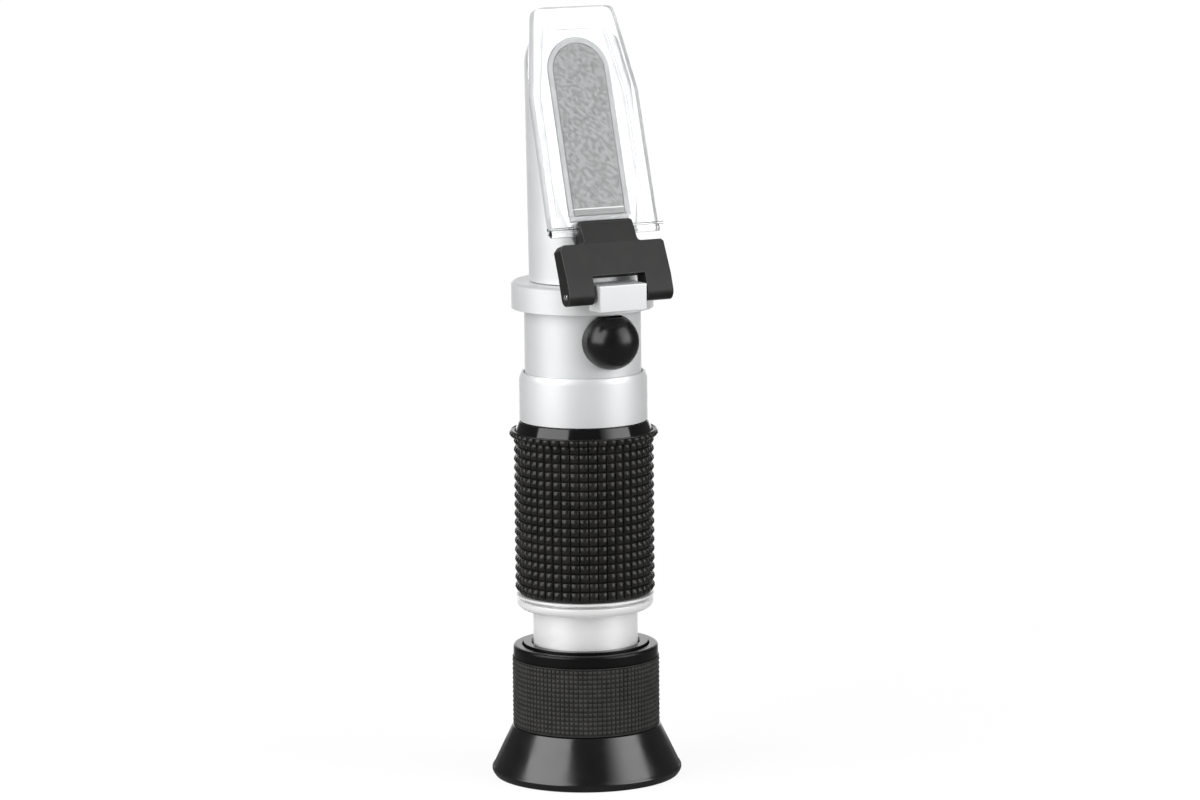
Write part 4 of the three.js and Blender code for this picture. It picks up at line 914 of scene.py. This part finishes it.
# The grip's rubber from a blasted mould: paler and dull.
dull_rubber, tree, finish, place = new_material(
    "dull_nitrile_rubber", Base_Color=colour("#2E2D2C"), Roughness=0.58, IOR=1.52, Specular_IOR_Level=0.35)
bloom = add_node(tree, "ShaderNodeTexNoise", {"Vector": place, "Scale": 1 / (2.5 * MM), "Detail": 4.0})
tones = add_node(tree, "ShaderNodeValToRGB", {"Fac": bloom}, finish["Base Color"])
set_stops(tones, (0.35, "#2A2928"), (0.7, "#353433"))

sleeve_bore = ring_outer + fit_gap
sleeve_radius = 15.5
knurl_valley, knurl_low, knurl_high = 15.12, 11.02, 24.93
knurl_columns, knurl_rows, knurl_pitch = 98, 14, 0.99
knurl_fill, knurl_roundness, knurl_sink = 0.94, 1.5, 0.1
sleeve = turned("knurled_sleeve", eased([
    (sleeve_bore, sleeve_bottom), (sleeve_radius - 0.05, sleeve_bottom),
    (sleeve_radius - 0.02, knurl_low - 0.1), (knurl_valley, knurl_low), (knurl_valley, knurl_high),
    (sleeve_radius - 0.05, knurl_high + 0.09), (sleeve_radius - 0.06, sleeve_top),
    (sleeve_bore, sleeve_top)], 0.06), dull_rubber)
knurl_width = 2 * pi * knurl_valley / knurl_columns
knurl_stud = stud_mesh("knurl_stud", knurl_width * knurl_fill, knurl_pitch * knurl_fill,
                       sleeve_radius - knurl_valley, knurl_roundness, knurl_sink, dull_rubber)
studded(sleeve, knurl_stud, knurl_columns, knurl_rows, knurl_pitch, knurl_valley,
        knurl_low + 0.03 + knurl_pitch / 2)
set_in(sleeve, "eyepiece", "grip_rubber", "knurled_sleeve")


# ------------------------------------------------ Eyecup
# Glossy moulded rubber: a straight flare with a rolled rim, on which the instrument stands, and a
# neck that is pushed over the spigot of the focus ring.
rim_radius, foot_radius, foot_bore, rim_height, eyecup_top = 20.0, 19.4, 18.3, 1.9, 10.6
neck_radius, neck_bottom, bowl_radius, bowl_foot = 12.9, 8.0, 15.24, 18.4

# Black rubber from a polished mould: it mirrors the lamps in long soft streaks.
polished_rubber, tree, finish, place = new_material(
    "polished_black_rubber", Base_Color=colour("#0E0E0E"), Roughness=0.18, IOR=1.52, Specular_IOR_Level=0.75)
skin = add_node(tree, "ShaderNodeTexNoise", {"Vector": place, "Scale": 1 / (5 * MM), "Detail": 4.0})
add_node(tree, "ShaderNodeMapRange", {
    "Value": skin, "From Min": 0.3, "From Max": 0.7, "To Min": 0.16, "To Max": 0.26}, finish["Roughness"])
waves = add_node(tree, "ShaderNodeTexNoise", {"Vector": place, "Scale": 1 / (2.2 * MM)})
add_node(tree, "ShaderNodeBump", {"Height": waves, "Strength": 0.12, "Distance": 0.05 * MM}, finish["Normal"])

eyecup = turned("eyecup", eased([
    (foot_bore, 0.0), (foot_radius, 0.0), (foot_radius + 0.42, 0.62), (rim_radius, 1.05), (rim_radius, 1.5),
    (rim_radius - 0.2, rim_height), (rim_radius - 0.42, 2.15), (sleeve_radius + 0.12, eyecup_top - 0.12),
    (sleeve_radius - 0.05, eyecup_top), (neck_radius, eyecup_top), (neck_radius, neck_bottom),
    (bowl_radius, neck_bottom), (bowl_foot, rim_height), (foot_bore - 0.15, 0.5)], 0.25, 4), polished_rubber)
set_in(eyecup, "eyepiece", "gloss_rubber", "eyecup")


# ------------------------------------------------ Inside the tubes
# Polished crown glass lenses and a plain reticle glass, in black anodised cells with lock rings; a
# brass and steel strip carries the objective cell, and a steel pin guides the ocular cell.
polished_glass, tree, finish, place = new_material(
    "polished_crown_glass", Base_Color=colour("#F2F7F8"), Roughness=0.01, IOR=1.52, Transmission_Weight=1.0)
film = add_node(tree, "ShaderNodeTexNoise", {"Vector": place, "Scale": 1 / (5 * MM)})
add_node(tree, "ShaderNodeMapRange", {"Value": film, "To Min": 0.0, "To Max": 0.04}, finish["Roughness"])
finished(polished_glass, "eye_lens", "field_lens", "objective_lens", "reticle_glass")
finished(black_anodised, "ocular_cell", "lens_spacer", "lens_lock_ring", "objective_cell",
         "objective_lock_ring", "strip_foot", "aperture_stop", "reticle_holder", "reticle_lock_ring")
finished(turned_brass, "bimetal_strip")
finished(ground_steel, "guide_pin", "strip_screw")

bpy.context.scene.view_settings.view_transform = "Standard"
bpy.context.view_layer.update()
